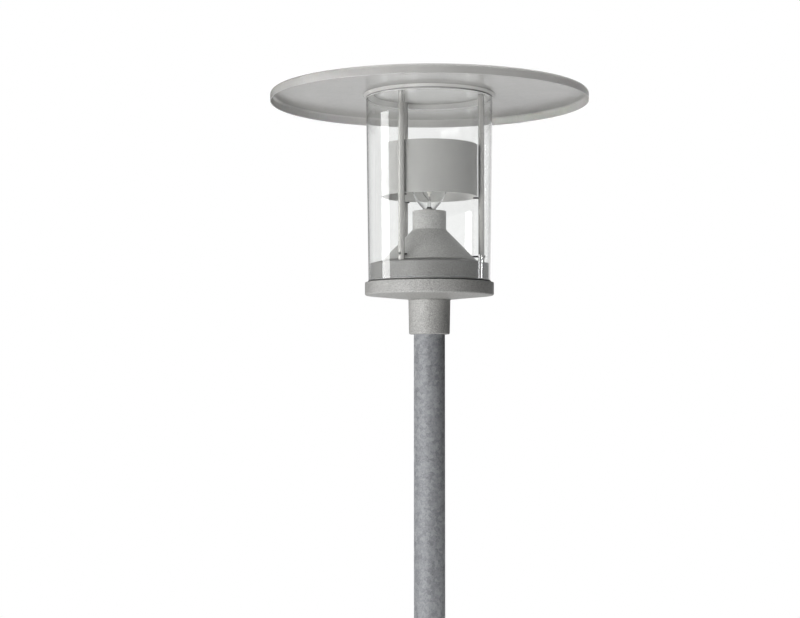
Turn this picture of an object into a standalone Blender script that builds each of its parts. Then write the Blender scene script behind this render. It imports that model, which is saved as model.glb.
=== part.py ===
"""Park lantern on a straight galvanised post, in metres with +Z up.

The origin is the centre of the base plate's underside. The lantern head is modelled about its
own frame: its zero height is the flat top of the flange that the clear cylinder stands on, and
every height marked "above the flange" is measured from there. The lantern is round about Z,
so the head, the reflector, the lamp, the clear cylinder and the shade all turn or lift on Z.
"""
import math

import bmesh
import bpy
from mathutils import Matrix, Vector

# Fits shared by all pieces
GAP = 0.0003
FIT = 0.0003
SEGMENTS = 40
SHADE_SEGMENTS = 56
MEDIUM_SEGMENTS = 20
SMALL_SEGMENTS = 12
ARC_CHORD = 0.0022

# Post
POLE_DIAMETER = 0.0603
POLE_WALL = 0.0036
POLE_LENGTH = 2.985
PLATE_SIDE = 0.300
PLATE_THICKNESS = 0.015
PLATE_CORNER_RADIUS = 0.015
PLATE_EDGE_CHAMFER = 0.0015
ANCHOR_EDGE_DISTANCE = 0.040
ANCHOR_HOLE_DIAMETER = 0.022
CABLE_HOLE_MARGIN = 0.0035
WELD_LEG = 0.007

# Clear cylinder, which is wider at its top, and its two seals
GLASS_FOOT_DIAMETER = 0.2362
GLASS_TOP_DIAMETER = 0.2462
GLASS_WALL = 0.0025
GLASS_LENGTH = 0.3550
GLASS_PLAY = 0.0006
GLASS_EDGE_CHAMFER = 0.0006
LOWER_GASKET_THICKNESS = 0.0023
LOWER_GASKET_OVERHANG = 0.0012
UPPER_GASKET_THICKNESS = 0.0012
UPPER_GASKET_INSET = 0.0003

# Cast base of the head: collar, flange and the hollow ring inside the clear cylinder
COLLAR_WALL = 0.0090
COLLAR_DRAFT = 0.0012
COLLAR_EDGE_RADIUS = 0.0030
SOCKET_DEPTH = 0.0705
STOP_THICKNESS = 0.0120
FLOOR_DEPTH = 0.0180
FLANGE_MARGIN = 0.0068
FLANGE_HEIGHT = 0.0250
FLANGE_EDGE_RADIUS = 0.0035
FLANGE_TOP_RADIUS = 0.0012
UNDERSIDE_FALL = 0.0080
RING_HEIGHT = 0.0360
RING_WALL = 0.0048
RING_EDGE_RADIUS = 0.0015
SHOULDER_RISE = 0.0058
SHOULDER_THICKNESS = 0.0050
CABLE_ENTRY_DIAMETER = 0.0360
BOSS_DIAMETER = 0.0200
BOSS_DEPTH = 0.0160
SET_SCREW_DIAMETER = 0.0080
SET_SCREW_HEIGHT = 0.0250
SET_SCREW_ANGLES = (50.0, 130.0)
SOCKET_KEY_RADIUS = 0.0023
SOCKET_KEY_DEPTH = 0.0045

# Tie rods, the first at the right, and the pins through them
ROD_NAMES = ("right", "back", "front")
ROD_FIRST_ANGLE = -1.2
ROD_DIAMETER = 0.0120
ROD_INSET = 0.0140
ROD_SEAT_DEPTH = 0.0005
STUD_DIAMETER = 0.0060
ROD_SPIGOT_LENGTH = 0.0130
PIN_DIAMETER = 0.0034
PIN_HOLD = 0.0050
PIN_HEAD_DIAMETER = 0.0050
PIN_HEAD_HEIGHT = 0.0012
REFLECTOR_PIN_REACH = 0.0100
COVER_PIN_HEIGHT = 0.0500

# Reflector band round the lamp
REFLECTOR_FOOT_HEIGHT = 0.1660
REFLECTOR_LENGTH = 0.1010
REFLECTOR_WALL = 0.0015
REFLECTOR_ROD_GAP = 0.0014
REFLECTOR_BEAD = 0.0008
REFLECTOR_BEAD_HEIGHT = 0.0030

# Lamp, its holder and the sprung contact under it
LAMP_CAP_DIAMETER = 0.0262
LAMP_CAP_LENGTH = 0.0302
LAMP_CAP_WALL = 0.0006
LAMP_CAP_CUP_DEPTH = 0.0100
LAMP_CAP_PROUD = 0.0040
EYELET_DIAMETER = 0.0090
EYELET_HEIGHT = 0.0015
INSULATOR_HEIGHT = 0.0060
BULB_DIAMETER = 0.0700
BULB_HALF_LENGTH = 0.0460
BULB_WALL = 0.0010
BULB_NECK_SHOWN = 0.0067
BULB_NECK_HELD = 0.0060
STEM_DIAMETER = 0.0066
STEM_LENGTH = 0.0210
ARC_TUBE_DIAMETER = 0.0090
ARC_TUBE_LENGTH = 0.0380
ARC_TUBE_STUB_DIAMETER = 0.0034
ARC_TUBE_STUB_LENGTH = 0.0060
LEAD_WIRE_DIAMETER = 0.0014
LEAD_WIRE_SPREAD = 0.0120
THREAD_PLAY = 0.0008
HOLDER_WALL = 0.0091
HOLDER_LENGTH = 0.0500
HOLDER_BELOW_NECK = 0.0045
HOLDER_EDGE_RADIUS = 0.0020
CONTACT_DIAMETER = 0.0080
CONTACT_THICKNESS = 0.0015
CONTACT_STEM_DIAMETER = 0.0032
CONTACT_STEM_LENGTH = 0.0120
CONTACT_TRAVEL_ROOM = 0.0015

# Cone cover over the gear, with the open neck that the lamp stands in
COVER_ROD_GAP = 0.0030
COVER_CONE_HEIGHT = 0.0600
COVER_NECK_LENGTH = 0.0365
COVER_NECK_CLEARANCE = 0.0067
COVER_WALL = 0.0030
COVER_LEDGE = 0.0070
COVER_REGISTER_DEPTH = 0.0050
COVER_FOOT_CHAMFER = 0.0008
COVER_BEND_RADIUS = 0.0040
COVER_LIP_RADIUS = 0.0012

# Gear inside the cast base
TRAY_EDGE_CLEARANCE = 0.0060
TRAY_THICKNESS = 0.0020
TRAY_RIM_HEIGHT = 0.0060
TRAY_HOLE_CLEARANCE = 0.0020
GLAND_FLANGE_WIDTH = 0.0035
GLAND_FLANGE_HEIGHT = 0.0050
GLAND_DOME_HEIGHT = 0.0120
GLAND_BORE_DIAMETER = 0.0120
BALLAST_SIZE = (0.040, 0.052, 0.042)
BALLAST_COIL_OVERHANG = 0.0090
BALLAST_COIL_INSET = 0.0060
BALLAST_EDGE_RADIUS = 0.0020
BALLAST_OFFSET = 0.0460
CAPACITOR_DIAMETER = 0.0260
CAPACITOR_HEIGHT = 0.0460
CAPACITOR_PLACE = (0.0460, -0.0320)
IGNITOR_SIZE = (0.026, 0.026, 0.040)
IGNITOR_PLACE = (0.0460, 0.0320)
IGNITOR_EDGE_RADIUS = 0.0030
TERMINAL_SIZE = (0.018, 0.030, 0.020)
TERMINAL_OFFSET = 0.0500
TERMINAL_WAYS = 3
TERMINAL_SLOT = 0.0050
TERMINAL_SLOT_DEPTH = 0.0060
BRACKET_WIDTH = 0.0200
BRACKET_SPAN = 0.0600
BRACKET_FOOT = 0.0100
BRACKET_SHEET = 0.0020

# Shade and the conical ring under it that centres the clear cylinder
SHADE_DIAMETER = 0.6180
SHADE_SHEET = 0.0020
SHADE_RIM_HEIGHT = 0.0180
SHADE_EDGE_RADIUS = 0.0065
SEAT_RING_HEIGHT = 0.0076
SEAT_RING_OUTREACH = 0.0055
SEAT_RING_INREACH = 0.0018
SEAT_RING_LAND = 0.0030
WASHER_DIAMETER = 0.0160
WASHER_THICKNESS = 0.0015
NUT_ACROSS_FLATS = 0.0100
NUT_HEX_HEIGHT = 0.0055
NUT_DOME_HEIGHT = 0.0050
NUT_THREAD_DEPTH = 0.0075

# Post heights and radii that follow
POLE_RADIUS = POLE_DIAMETER / 2
POLE_BORE_RADIUS = POLE_RADIUS - POLE_WALL
POLE_FOOT_Z = PLATE_THICKNESS + GAP
POLE_TOP_Z = POLE_FOOT_Z + POLE_LENGTH
STOP_Z = -FLOOR_DEPTH - STOP_THICKNESS
FLANGE_Z = POLE_TOP_Z + GAP - STOP_Z

# Clear cylinder and cast base that follow, heights above the flange
GLASS_FOOT_RADIUS = GLASS_FOOT_DIAMETER / 2
GLASS_TOP_RADIUS = GLASS_TOP_DIAMETER / 2
GLASS_FOOT_Z = 2 * GAP + LOWER_GASKET_THICKNESS
GLASS_TOP_Z = GLASS_FOOT_Z + GLASS_LENGTH
RING_RADIUS = GLASS_FOOT_RADIUS - GLASS_WALL - GLASS_PLAY
FLANGE_RADIUS = GLASS_FOOT_RADIUS + FLANGE_MARGIN
COLLAR_BORE_RADIUS = POLE_RADIUS + FIT
COLLAR_FOOT_RADIUS = COLLAR_BORE_RADIUS + COLLAR_WALL
COLLAR_TOP_RADIUS = COLLAR_FOOT_RADIUS + COLLAR_DRAFT
COLLAR_FOOT_Z = STOP_Z - SOCKET_DEPTH
COLLAR_TOP_Z = -FLANGE_HEIGHT - UNDERSIDE_FALL
SHOULDER_Z = RING_HEIGHT + SHOULDER_RISE
CABLE_ENTRY_RADIUS = CABLE_ENTRY_DIAMETER / 2

# Rods, reflector and cover radii that follow
ROD_RADIUS = ROD_DIAMETER / 2
ROD_CIRCLE_RADIUS = RING_RADIUS - ROD_INSET
STUD_RADIUS = STUD_DIAMETER / 2
PIN_RADIUS = PIN_DIAMETER / 2
REFLECTOR_RADIUS = ROD_CIRCLE_RADIUS - ROD_RADIUS - REFLECTOR_ROD_GAP
COVER_FOOT_RADIUS = ROD_CIRCLE_RADIUS - ROD_RADIUS - COVER_ROD_GAP
OPENING_RADIUS = COVER_FOOT_RADIUS - COVER_LEDGE
COVER_FOOT_Z = SHOULDER_Z + GAP
COVER_NECK_FOOT_Z = COVER_FOOT_Z + COVER_CONE_HEIGHT
COVER_NECK_TOP_Z = COVER_NECK_FOOT_Z + COVER_NECK_LENGTH
LAMP_CAP_RADIUS = LAMP_CAP_DIAMETER / 2
HOLDER_BORE_RADIUS = LAMP_CAP_RADIUS + THREAD_PLAY
HOLDER_RADIUS = HOLDER_BORE_RADIUS + HOLDER_WALL
COVER_NECK_RADIUS = HOLDER_RADIUS + COVER_NECK_CLEARANCE + COVER_WALL
COVER_SLOPE = (COVER_FOOT_RADIUS - COVER_NECK_RADIUS) / COVER_CONE_HEIGHT
COVER_SIDE_WALL = COVER_WALL * math.hypot(1.0, COVER_SLOPE)

# Lamp heights that follow
LAMP_CAP_TOP_Z = COVER_NECK_TOP_Z + LAMP_CAP_PROUD
LAMP_TIP_Z = LAMP_CAP_TOP_Z - LAMP_CAP_LENGTH
CONTACT_TOP_Z = LAMP_TIP_Z - GAP
HOLDER_TOP_Z = COVER_NECK_TOP_Z - HOLDER_BELOW_NECK
HOLDER_FOOT_Z = HOLDER_TOP_Z - HOLDER_LENGTH
HOLDER_FLOOR_Z = CONTACT_TOP_Z - CONTACT_THICKNESS - CONTACT_TRAVEL_ROOM
BULB_NECK_RADIUS = LAMP_CAP_RADIUS - LAMP_CAP_WALL - GAP
BULB_RADIUS = BULB_DIAMETER / 2
BULB_NECK_DROP = BULB_HALF_LENGTH * math.sqrt(1 - (BULB_NECK_RADIUS / BULB_RADIUS) ** 2)
BULB_CENTRE_Z = LAMP_CAP_TOP_Z + BULB_NECK_SHOWN + BULB_NECK_DROP
BULB_FOOT_Z = LAMP_CAP_TOP_Z - BULB_NECK_HELD
STEM_TOP_Z = BULB_FOOT_Z + STEM_LENGTH
ARC_TUBE_FOOT_Z = BULB_CENTRE_Z - ARC_TUBE_LENGTH / 2

# Shade heights that follow
SEAT_RING_TOP_RADIUS = GLASS_TOP_RADIUS + SEAT_RING_OUTREACH
SEAT_RING_FOOT_RADIUS = GLASS_TOP_RADIUS - GLASS_WALL - SEAT_RING_INREACH
SEAT_RING_SLOPE = SEAT_RING_HEIGHT / (SEAT_RING_TOP_RADIUS - SEAT_RING_FOOT_RADIUS)
UPPER_GASKET_INNER_RADIUS = GLASS_TOP_RADIUS - GLASS_WALL + UPPER_GASKET_INSET
UPPER_GASKET_OUTER_RADIUS = GLASS_TOP_RADIUS - UPPER_GASKET_INSET
UPPER_GASKET_FOOT_Z = GLASS_TOP_Z + GAP
UPPER_GASKET_TOP_Z = UPPER_GASKET_FOOT_Z + UPPER_GASKET_THICKNESS
SEAT_RING_FOOT_Z = (UPPER_GASKET_TOP_Z + GAP
                    - SEAT_RING_SLOPE * (UPPER_GASKET_INNER_RADIUS - SEAT_RING_FOOT_RADIUS))
SHADE_UNDERSIDE_Z = SEAT_RING_FOOT_Z + SEAT_RING_HEIGHT + GAP
SHADE_TOP_Z = SHADE_UNDERSIDE_Z + SHADE_SHEET
WASHER_FOOT_Z = SHADE_TOP_Z + GAP
NUT_FOOT_Z = WASHER_FOOT_Z + WASHER_THICKNESS + GAP
ROD_TOP_Z = SHADE_UNDERSIDE_Z - GAP
STUD_TOP_Z = NUT_FOOT_Z + NUT_THREAD_DEPTH - GAP


def shoulder_height(radius):
    """Height of the sloping shoulder of the cast ring at a radius."""
    share = (RING_RADIUS - radius) / (RING_RADIUS - COVER_FOOT_RADIUS)
    return RING_HEIGHT + SHOULDER_RISE * share


def cover_radius(height):
    """Outer radius of the cone cover at a height between its foot and its neck."""
    return COVER_FOOT_RADIUS - COVER_SLOPE * (height - COVER_FOOT_Z)


ROD_SEAT_Z = shoulder_height(ROD_CIRCLE_RADIUS + ROD_RADIUS) - ROD_SEAT_DEPTH
ROD_FOOT_Z = ROD_SEAT_Z + GAP
REFLECTOR_PIN_Z = REFLECTOR_FOOT_HEIGHT - GAP - PIN_RADIUS
TRAY_FOOT_Z = -FLOOR_DEPTH + GAP
TRAY_TOP_Z = TRAY_FOOT_Z + TRAY_THICKNESS
GEAR_FOOT_Z = TRAY_TOP_Z + GAP


def clear_scene():
    for thing in list(bpy.data.objects):
        bpy.data.objects.remove(thing, do_unlink=True)


def finish_material(name, colour, roughness, metallic=0.0, alpha=1.0):
    """A Principled material with a plain colour, roughness and metallic value."""
    material = bpy.data.materials.new(name)
    material.use_nodes = True
    shader = material.node_tree.nodes["Principled BSDF"]
    shader.inputs["Base Color"].default_value = (*colour, 1.0)
    shader.inputs["Roughness"].default_value = roughness
    shader.inputs["Metallic"].default_value = metallic
    shader.inputs["Alpha"].default_value = alpha
    return material


def rounded(corners, closed, chord=ARC_CHORD):
    """Turn (radius, height) corners into points; a third number rounds that corner by an arc."""
    points = []
    count = len(corners)
    for index, corner in enumerate(corners):
        here = Vector(corner[:2])
        inner = closed or 0 < index < count - 1
        if len(corner) < 3 or not inner:
            points.append(here)
            continue
        back = Vector(corners[index - 1][:2]) - here
        ahead = Vector(corners[(index + 1) % count][:2]) - here
        half = back.angle(ahead) / 2
        reach = min(corner[2] / math.tan(half), 0.45 * back.length, 0.45 * ahead.length)
        radius = reach * math.tan(half)
        centre = here + (back.normalized() + ahead.normalized()).normalized() * (radius / math.sin(half))
        start = here + back.normalized() * reach - centre
        end = here + ahead.normalized() * reach - centre
        sweep = start.angle(end)
        steps = max(1, round(radius * sweep / chord))
        for step in range(steps + 1):
            share = step / steps
            near = math.sin((1 - share) * sweep) / math.sin(sweep)
            far = math.sin(share * sweep) / math.sin(sweep)
            points.append(centre + start * near + end * far)
    return points


def place(name, mesh_data, material, parent=None, location=(0, 0, 0), angle=0.0):
    """Make a smooth-shaded object from a bmesh and hang it on its parent frame."""
    mesh = bpy.data.meshes.new(name)
    mesh_data.to_mesh(mesh)
    mesh_data.free()
    mesh.shade_smooth()
    mesh.set_sharp_from_angle(angle=math.radians(35))
    thing = bpy.data.objects.new(name, mesh)
    bpy.context.scene.collection.objects.link(thing)
    if material:
        mesh.materials.append(material)
    thing.parent = parent
    thing.location = location
    thing.rotation_euler = (0, 0, angle)
    return thing


def turned_mesh(corners, closed=True, segments=SEGMENTS, turn=None):
    """Spin a profile about Z; an open profile starts and ends on the axis."""
    points = rounded(corners, closed)
    mesh = bmesh.new()
    outline = [mesh.verts.new((radius, 0.0, height)) for radius, height in points]
    edges = [mesh.edges.new(pair) for pair in zip(outline, outline[1:])]
    if closed:
        edges.append(mesh.edges.new((outline[-1], outline[0])))
    bmesh.ops.spin(mesh, geom=outline + edges, cent=(0, 0, 0), axis=(0, 0, 1),
                   angle=2 * math.pi, steps=segments, use_merge=True)
    bmesh.ops.remove_doubles(mesh, verts=mesh.verts, dist=1e-6)
    bmesh.ops.recalc_face_normals(mesh, faces=mesh.faces)
    if turn:
        bmesh.ops.transform(mesh, matrix=turn, verts=mesh.verts)
    return mesh


def cylinder_corners(radius, low, high, chamfer=0.0):
    """Profile of a solid cylinder between two heights, with both rims chamfered if asked."""
    if not chamfer:
        return [(0, high), (radius, high), (radius, low), (0, low)]
    return [(0, high), (radius - chamfer, high), (radius, high - chamfer),
            (radius, low + chamfer), (radius - chamfer, low), (0, low)]


def block_mesh(size, centre, edge_radius=0.0):
    """A block about its centre, with all edges rounded if asked."""
    mesh = bmesh.new()
    bmesh.ops.create_cube(mesh, size=1.0, matrix=Matrix.Translation(centre) @ Matrix.Diagonal((*size, 1)))
    if edge_radius:
        bmesh.ops.bevel(mesh, geom=mesh.edges, offset=edge_radius, segments=2,
                        profile=0.5, affect="EDGES")
    return mesh


def extruded_mesh(outline, width):
    """A closed (y, z) outline pulled along X, centred on X = 0."""
    mesh = bmesh.new()
    face = mesh.faces.new([mesh.verts.new((-width / 2, y, z)) for y, z in outline])
    pulled = bmesh.ops.extrude_face_region(mesh, geom=[face])
    moved = [item for item in pulled["geom"] if isinstance(item, bmesh.types.BMVert)]
    bmesh.ops.translate(mesh, verts=moved, vec=(width, 0, 0))
    bmesh.ops.recalc_face_normals(mesh, faces=mesh.faces)
    return mesh


def combine(target, name, meshes, operation, parent=None):
    """Join helper shapes into one wire guide and apply it to the target as a Boolean."""
    merged = bmesh.new()
    for piece in meshes:
        data = bpy.data.meshes.new(name)
        piece.to_mesh(data)
        piece.free()
        merged.from_mesh(data)
        bpy.data.meshes.remove(data)
    guide = place(name, merged, None, parent)
    guide.display_type = "WIRE"
    guide.hide_render = True
    change = target.modifiers.new(name, "BOOLEAN")
    change.operation = operation
    change.object = guide
    change.solver = "EXACT"
    return guide


def at(mesh, x, y, angle=0.0):
    """Move a helper shape to a place beside the axis and turn it there."""
    spot = Matrix.Translation((x, y, 0)) @ Matrix.Rotation(angle, 4, "Z")
    bmesh.ops.transform(mesh, matrix=spot, verts=mesh.verts)
    return mesh


# A turned shape that lay along +Z lies along +X after this
ALONG_X = Matrix.Rotation(math.pi / 2, 4, "Y")


def rod_angles():
    step = 360 / len(ROD_NAMES)
    return [math.radians(ROD_FIRST_ANGLE + step * index) for index in range(len(ROD_NAMES))]


def on_rod_circle(angle):
    return (ROD_CIRCLE_RADIUS * math.cos(angle), ROD_CIRCLE_RADIUS * math.sin(angle))


def make_base_plate(material):
    """Square plate with round corners, anchor holes, cable hole and the weld round the pole."""
    plate = block_mesh((PLATE_SIDE, PLATE_SIDE, PLATE_THICKNESS), (0, 0, PLATE_THICKNESS / 2))
    uprights = [edge for edge in plate.edges if abs(edge.verts[0].co.z - edge.verts[1].co.z) > GAP]
    bmesh.ops.bevel(plate, geom=uprights, offset=PLATE_CORNER_RADIUS, segments=4,
                    profile=0.5, affect="EDGES")
    top_rim = [edge for edge in plate.edges
               if min(vert.co.z for vert in edge.verts) > PLATE_THICKNESS - GAP]
    bmesh.ops.bevel(plate, geom=top_rim, offset=PLATE_EDGE_CHAMFER, segments=1, affect="EDGES")
    thing = place("base_plate", plate, material)
    inner = POLE_RADIUS + FIT
    weld = turned_mesh([(inner, PLATE_THICKNESS / 2), (inner, PLATE_THICKNESS + WELD_LEG),
                        (inner + WELD_LEG, PLATE_THICKNESS), (inner + WELD_LEG, PLATE_THICKNESS / 2)])
    combine(thing, "guide_weld", [weld], "UNION")
    low = -PLATE_THICKNESS
    high = 3 * PLATE_THICKNESS
    reach = PLATE_SIDE / 2 - ANCHOR_EDGE_DISTANCE
    holes = [turned_mesh(cylinder_corners(POLE_BORE_RADIUS - CABLE_HOLE_MARGIN, low, high), closed=False)]
    for x in (-reach, reach):
        for y in (-reach, reach):
            hole = turned_mesh(cylinder_corners(ANCHOR_HOLE_DIAMETER / 2, low, high),
                               closed=False, segments=MEDIUM_SEGMENTS)
            holes.append(at(hole, x, y))
    combine(thing, "guide_plate_holes", holes, "DIFFERENCE")


def make_pole(material):
    wall = [(POLE_RADIUS, POLE_TOP_Z), (POLE_RADIUS, POLE_FOOT_Z),
            (POLE_BORE_RADIUS, POLE_FOOT_Z), (POLE_BORE_RADIUS, POLE_TOP_Z)]
    place("pole_tube", turned_mesh(wall), material)


def make_head_casting(material, head):
    """Collar, flange and hollow ring in one casting, with a boss under each rod."""
    profile = [
        (CABLE_ENTRY_RADIUS, -FLOOR_DEPTH),
        (RING_RADIUS - RING_WALL, -FLOOR_DEPTH, RING_WALL),
        (RING_RADIUS - RING_WALL, SHOULDER_Z - 2 * SHOULDER_THICKNESS),
        (OPENING_RADIUS, SHOULDER_Z - SHOULDER_THICKNESS),
        (OPENING_RADIUS, SHOULDER_Z),
        (COVER_FOOT_RADIUS, SHOULDER_Z),
        (RING_RADIUS, RING_HEIGHT, RING_EDGE_RADIUS),
        (RING_RADIUS, 0),
        (FLANGE_RADIUS, 0, FLANGE_TOP_RADIUS),
        (FLANGE_RADIUS, -FLANGE_HEIGHT, FLANGE_EDGE_RADIUS),
        (COLLAR_TOP_RADIUS, COLLAR_TOP_Z),
        (COLLAR_FOOT_RADIUS, COLLAR_FOOT_Z, COLLAR_EDGE_RADIUS),
        (COLLAR_BORE_RADIUS, COLLAR_FOOT_Z),
        (COLLAR_BORE_RADIUS, STOP_Z),
        (CABLE_ENTRY_RADIUS, STOP_Z),
    ]
    thing = place("head_casting", turned_mesh(profile), material, head)
    boss_top = SHOULDER_Z - SHOULDER_THICKNESS
    bosses = []
    cuts = []
    for angle in rod_angles():
        x, y = on_rod_circle(angle)
        boss = turned_mesh(cylinder_corners(BOSS_DIAMETER / 2, boss_top - BOSS_DEPTH, boss_top),
                           closed=False, segments=SMALL_SEGMENTS)
        bosses.append(at(boss, x, y, angle))
        seat = [(0, SHOULDER_Z + ROD_DIAMETER), (ROD_RADIUS + FIT, SHOULDER_Z + ROD_DIAMETER),
                (ROD_RADIUS + FIT, ROD_SEAT_Z), (STUD_RADIUS + FIT, ROD_SEAT_Z),
                (STUD_RADIUS + FIT, ROD_FOOT_Z - ROD_SPIGOT_LENGTH - GAP),
                (0, ROD_FOOT_Z - ROD_SPIGOT_LENGTH - GAP)]
        cuts.append(at(turned_mesh(seat, closed=False, segments=SMALL_SEGMENTS), x, y, angle))
    for degrees in SET_SCREW_ANGLES:
        thread = turned_mesh(cylinder_corners(SET_SCREW_DIAMETER / 2 + FIT, POLE_RADIUS / 2,
                                              2 * COLLAR_TOP_RADIUS),
                             closed=False, segments=SMALL_SEGMENTS, turn=ALONG_X)
        bmesh.ops.translate(thread, verts=thread.verts, vec=(0, 0, COLLAR_FOOT_Z + SET_SCREW_HEIGHT))
        cuts.append(at(thread, 0, 0, math.radians(degrees)))
    combine(thing, "guide_rod_bosses", bosses, "UNION", head)
    combine(thing, "guide_casting_holes", cuts, "DIFFERENCE", head)


def make_set_screws(material, head):
    """Grub screws through the back of the collar, each with a hexagon socket in its outer end."""
    height = COLLAR_FOOT_Z + SET_SCREW_HEIGHT
    share = SET_SCREW_HEIGHT / (COLLAR_TOP_Z - COLLAR_FOOT_Z)
    outer = COLLAR_FOOT_RADIUS + COLLAR_DRAFT * share - GAP
    for name, degrees in zip(("set_screw_right", "set_screw_left"), SET_SCREW_ANGLES):
        body = turned_mesh(cylinder_corners(SET_SCREW_DIAMETER / 2, POLE_RADIUS + GAP, outer, FIT),
                           closed=False, segments=SMALL_SEGMENTS, turn=ALONG_X)
        spot = (0, 0, height)
        thing = place(name, body, material, head, spot, math.radians(degrees))
        key = turned_mesh(cylinder_corners(SOCKET_KEY_RADIUS, outer - SOCKET_KEY_DEPTH, 2 * outer),
                          closed=False, segments=6, turn=ALONG_X)
        guide = combine(thing, f"guide_{name}", [key], "DIFFERENCE", head)
        guide.location = spot
        guide.rotation_euler = (0, 0, math.radians(degrees))


def make_gaskets(material, head, glass):
    """Flat ring under the clear cylinder, and a wedge ring between its top and the seat ring."""
    lower = [(RING_RADIUS + GAP, GAP + LOWER_GASKET_THICKNESS), (RING_RADIUS + GAP, GAP),
             (GLASS_FOOT_RADIUS + LOWER_GASKET_OVERHANG, GAP),
             (GLASS_FOOT_RADIUS + LOWER_GASKET_OVERHANG, GAP + LOWER_GASKET_THICKNESS)]
    place("lower_gasket", turned_mesh(lower), material, head)
    rise = SEAT_RING_SLOPE * (UPPER_GASKET_OUTER_RADIUS - UPPER_GASKET_INNER_RADIUS)
    upper = [(UPPER_GASKET_INNER_RADIUS, UPPER_GASKET_TOP_Z),
             (UPPER_GASKET_INNER_RADIUS, UPPER_GASKET_FOOT_Z),
             (UPPER_GASKET_OUTER_RADIUS, UPPER_GASKET_FOOT_Z),
             (UPPER_GASKET_OUTER_RADIUS, UPPER_GASKET_TOP_Z + rise)]
    place("upper_gasket", turned_mesh(upper), material, glass)


def make_cone_cover(material, head):
    """Spun cone with an open neck; its foot rests on the casting and a register drops inside."""
    register = OPENING_RADIUS - FIT
    inner_register = register - COVER_WALL
    inner_cone_foot = COVER_FOOT_Z + (COVER_FOOT_RADIUS - COVER_SIDE_WALL - inner_register) / COVER_SLOPE
    inner_neck = COVER_NECK_RADIUS - COVER_WALL
    inner_neck_foot = COVER_FOOT_Z + (COVER_FOOT_RADIUS - COVER_SIDE_WALL - inner_neck) / COVER_SLOPE
    profile = [
        (inner_neck, COVER_NECK_TOP_Z, COVER_LIP_RADIUS),
        (inner_neck, inner_neck_foot, COVER_BEND_RADIUS),
        (inner_register, inner_cone_foot),
        (inner_register, COVER_FOOT_Z - COVER_REGISTER_DEPTH),
        (register, COVER_FOOT_Z - COVER_REGISTER_DEPTH),
        (register, COVER_FOOT_Z),
        (COVER_FOOT_RADIUS - COVER_FOOT_CHAMFER, COVER_FOOT_Z),
        (COVER_FOOT_RADIUS - COVER_SLOPE * COVER_FOOT_CHAMFER, COVER_FOOT_Z + COVER_FOOT_CHAMFER),
        (COVER_NECK_RADIUS, COVER_NECK_FOOT_Z, COVER_BEND_RADIUS),
        (COVER_NECK_RADIUS, COVER_NECK_TOP_Z, COVER_LIP_RADIUS),
    ]
    thing = place("cone_cover", turned_mesh(profile), material, head)
    holes = []
    for angle in rod_angles():
        hole = turned_mesh(cylinder_corners(PIN_RADIUS + FIT, COVER_NECK_RADIUS, ROD_CIRCLE_RADIUS),
                           closed=False, segments=SMALL_SEGMENTS, turn=ALONG_X)
        bmesh.ops.translate(hole, verts=hole.verts, vec=(0, 0, COVER_PIN_HEIGHT))
        holes.append(at(hole, 0, 0, angle))
    combine(thing, "guide_cover_pin_holes", holes, "DIFFERENCE", head)


def make_tie_rods(material, dark, head):
    """Rods with a spigot in the casting, a stud through the shade, and two cross pins each."""
    profile = [(0, STUD_TOP_Z), (STUD_RADIUS, STUD_TOP_Z), (STUD_RADIUS, ROD_TOP_Z),
               (ROD_RADIUS, ROD_TOP_Z), (ROD_RADIUS, ROD_FOOT_Z), (STUD_RADIUS, ROD_FOOT_Z),
               (STUD_RADIUS, ROD_FOOT_Z - ROD_SPIGOT_LENGTH), (0, ROD_FOOT_Z - ROD_SPIGOT_LENGTH)]
    cover_tip = cover_radius(COVER_PIN_HEIGHT) - COVER_SIDE_WALL / 2 - ROD_CIRCLE_RADIUS
    blind_end = PIN_HOLD - ROD_RADIUS
    for name, angle in zip(ROD_NAMES, rod_angles()):
        spot = (*on_rod_circle(angle), 0)
        rod = place(f"tie_rod_{name}", turned_mesh(profile, closed=False, segments=SMALL_SEGMENTS),
                    material, head, spot, angle)
        blind = turned_mesh(cylinder_corners(PIN_RADIUS + FIT, -ROD_DIAMETER, blind_end + GAP),
                            closed=False, segments=SMALL_SEGMENTS, turn=ALONG_X)
        bmesh.ops.translate(blind, verts=blind.verts, vec=(0, 0, REFLECTOR_PIN_Z))
        through = turned_mesh(cylinder_corners(PIN_RADIUS + FIT, -ROD_DIAMETER, ROD_DIAMETER),
                              closed=False, segments=SMALL_SEGMENTS, turn=ALONG_X)
        bmesh.ops.translate(through, verts=through.verts, vec=(0, 0, COVER_PIN_HEIGHT))
        guide = combine(rod, f"guide_rod_{name}", [blind, through], "DIFFERENCE", head)
        guide.location = spot
        guide.rotation_euler = (0, 0, angle)
        plain = turned_mesh(cylinder_corners(PIN_RADIUS, -ROD_RADIUS - REFLECTOR_PIN_REACH, blind_end, FIT),
                            closed=False, segments=SMALL_SEGMENTS, turn=ALONG_X)
        place(f"reflector_pin_{name}", plain, dark, head, (*spot[:2], REFLECTOR_PIN_Z), angle)
        head_foot = ROD_RADIUS + GAP
        headed = turned_mesh([(0, head_foot + PIN_HEAD_HEIGHT),
                              (PIN_HEAD_DIAMETER / 2, head_foot + PIN_HEAD_HEIGHT),
                              (PIN_HEAD_DIAMETER / 2, head_foot), (PIN_RADIUS, head_foot),
                              (PIN_RADIUS, cover_tip), (0, cover_tip)],
                             closed=False, segments=SMALL_SEGMENTS, turn=ALONG_X)
        place(f"cover_pin_{name}", headed, dark, head, (*spot[:2], COVER_PIN_HEIGHT), angle)


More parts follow.
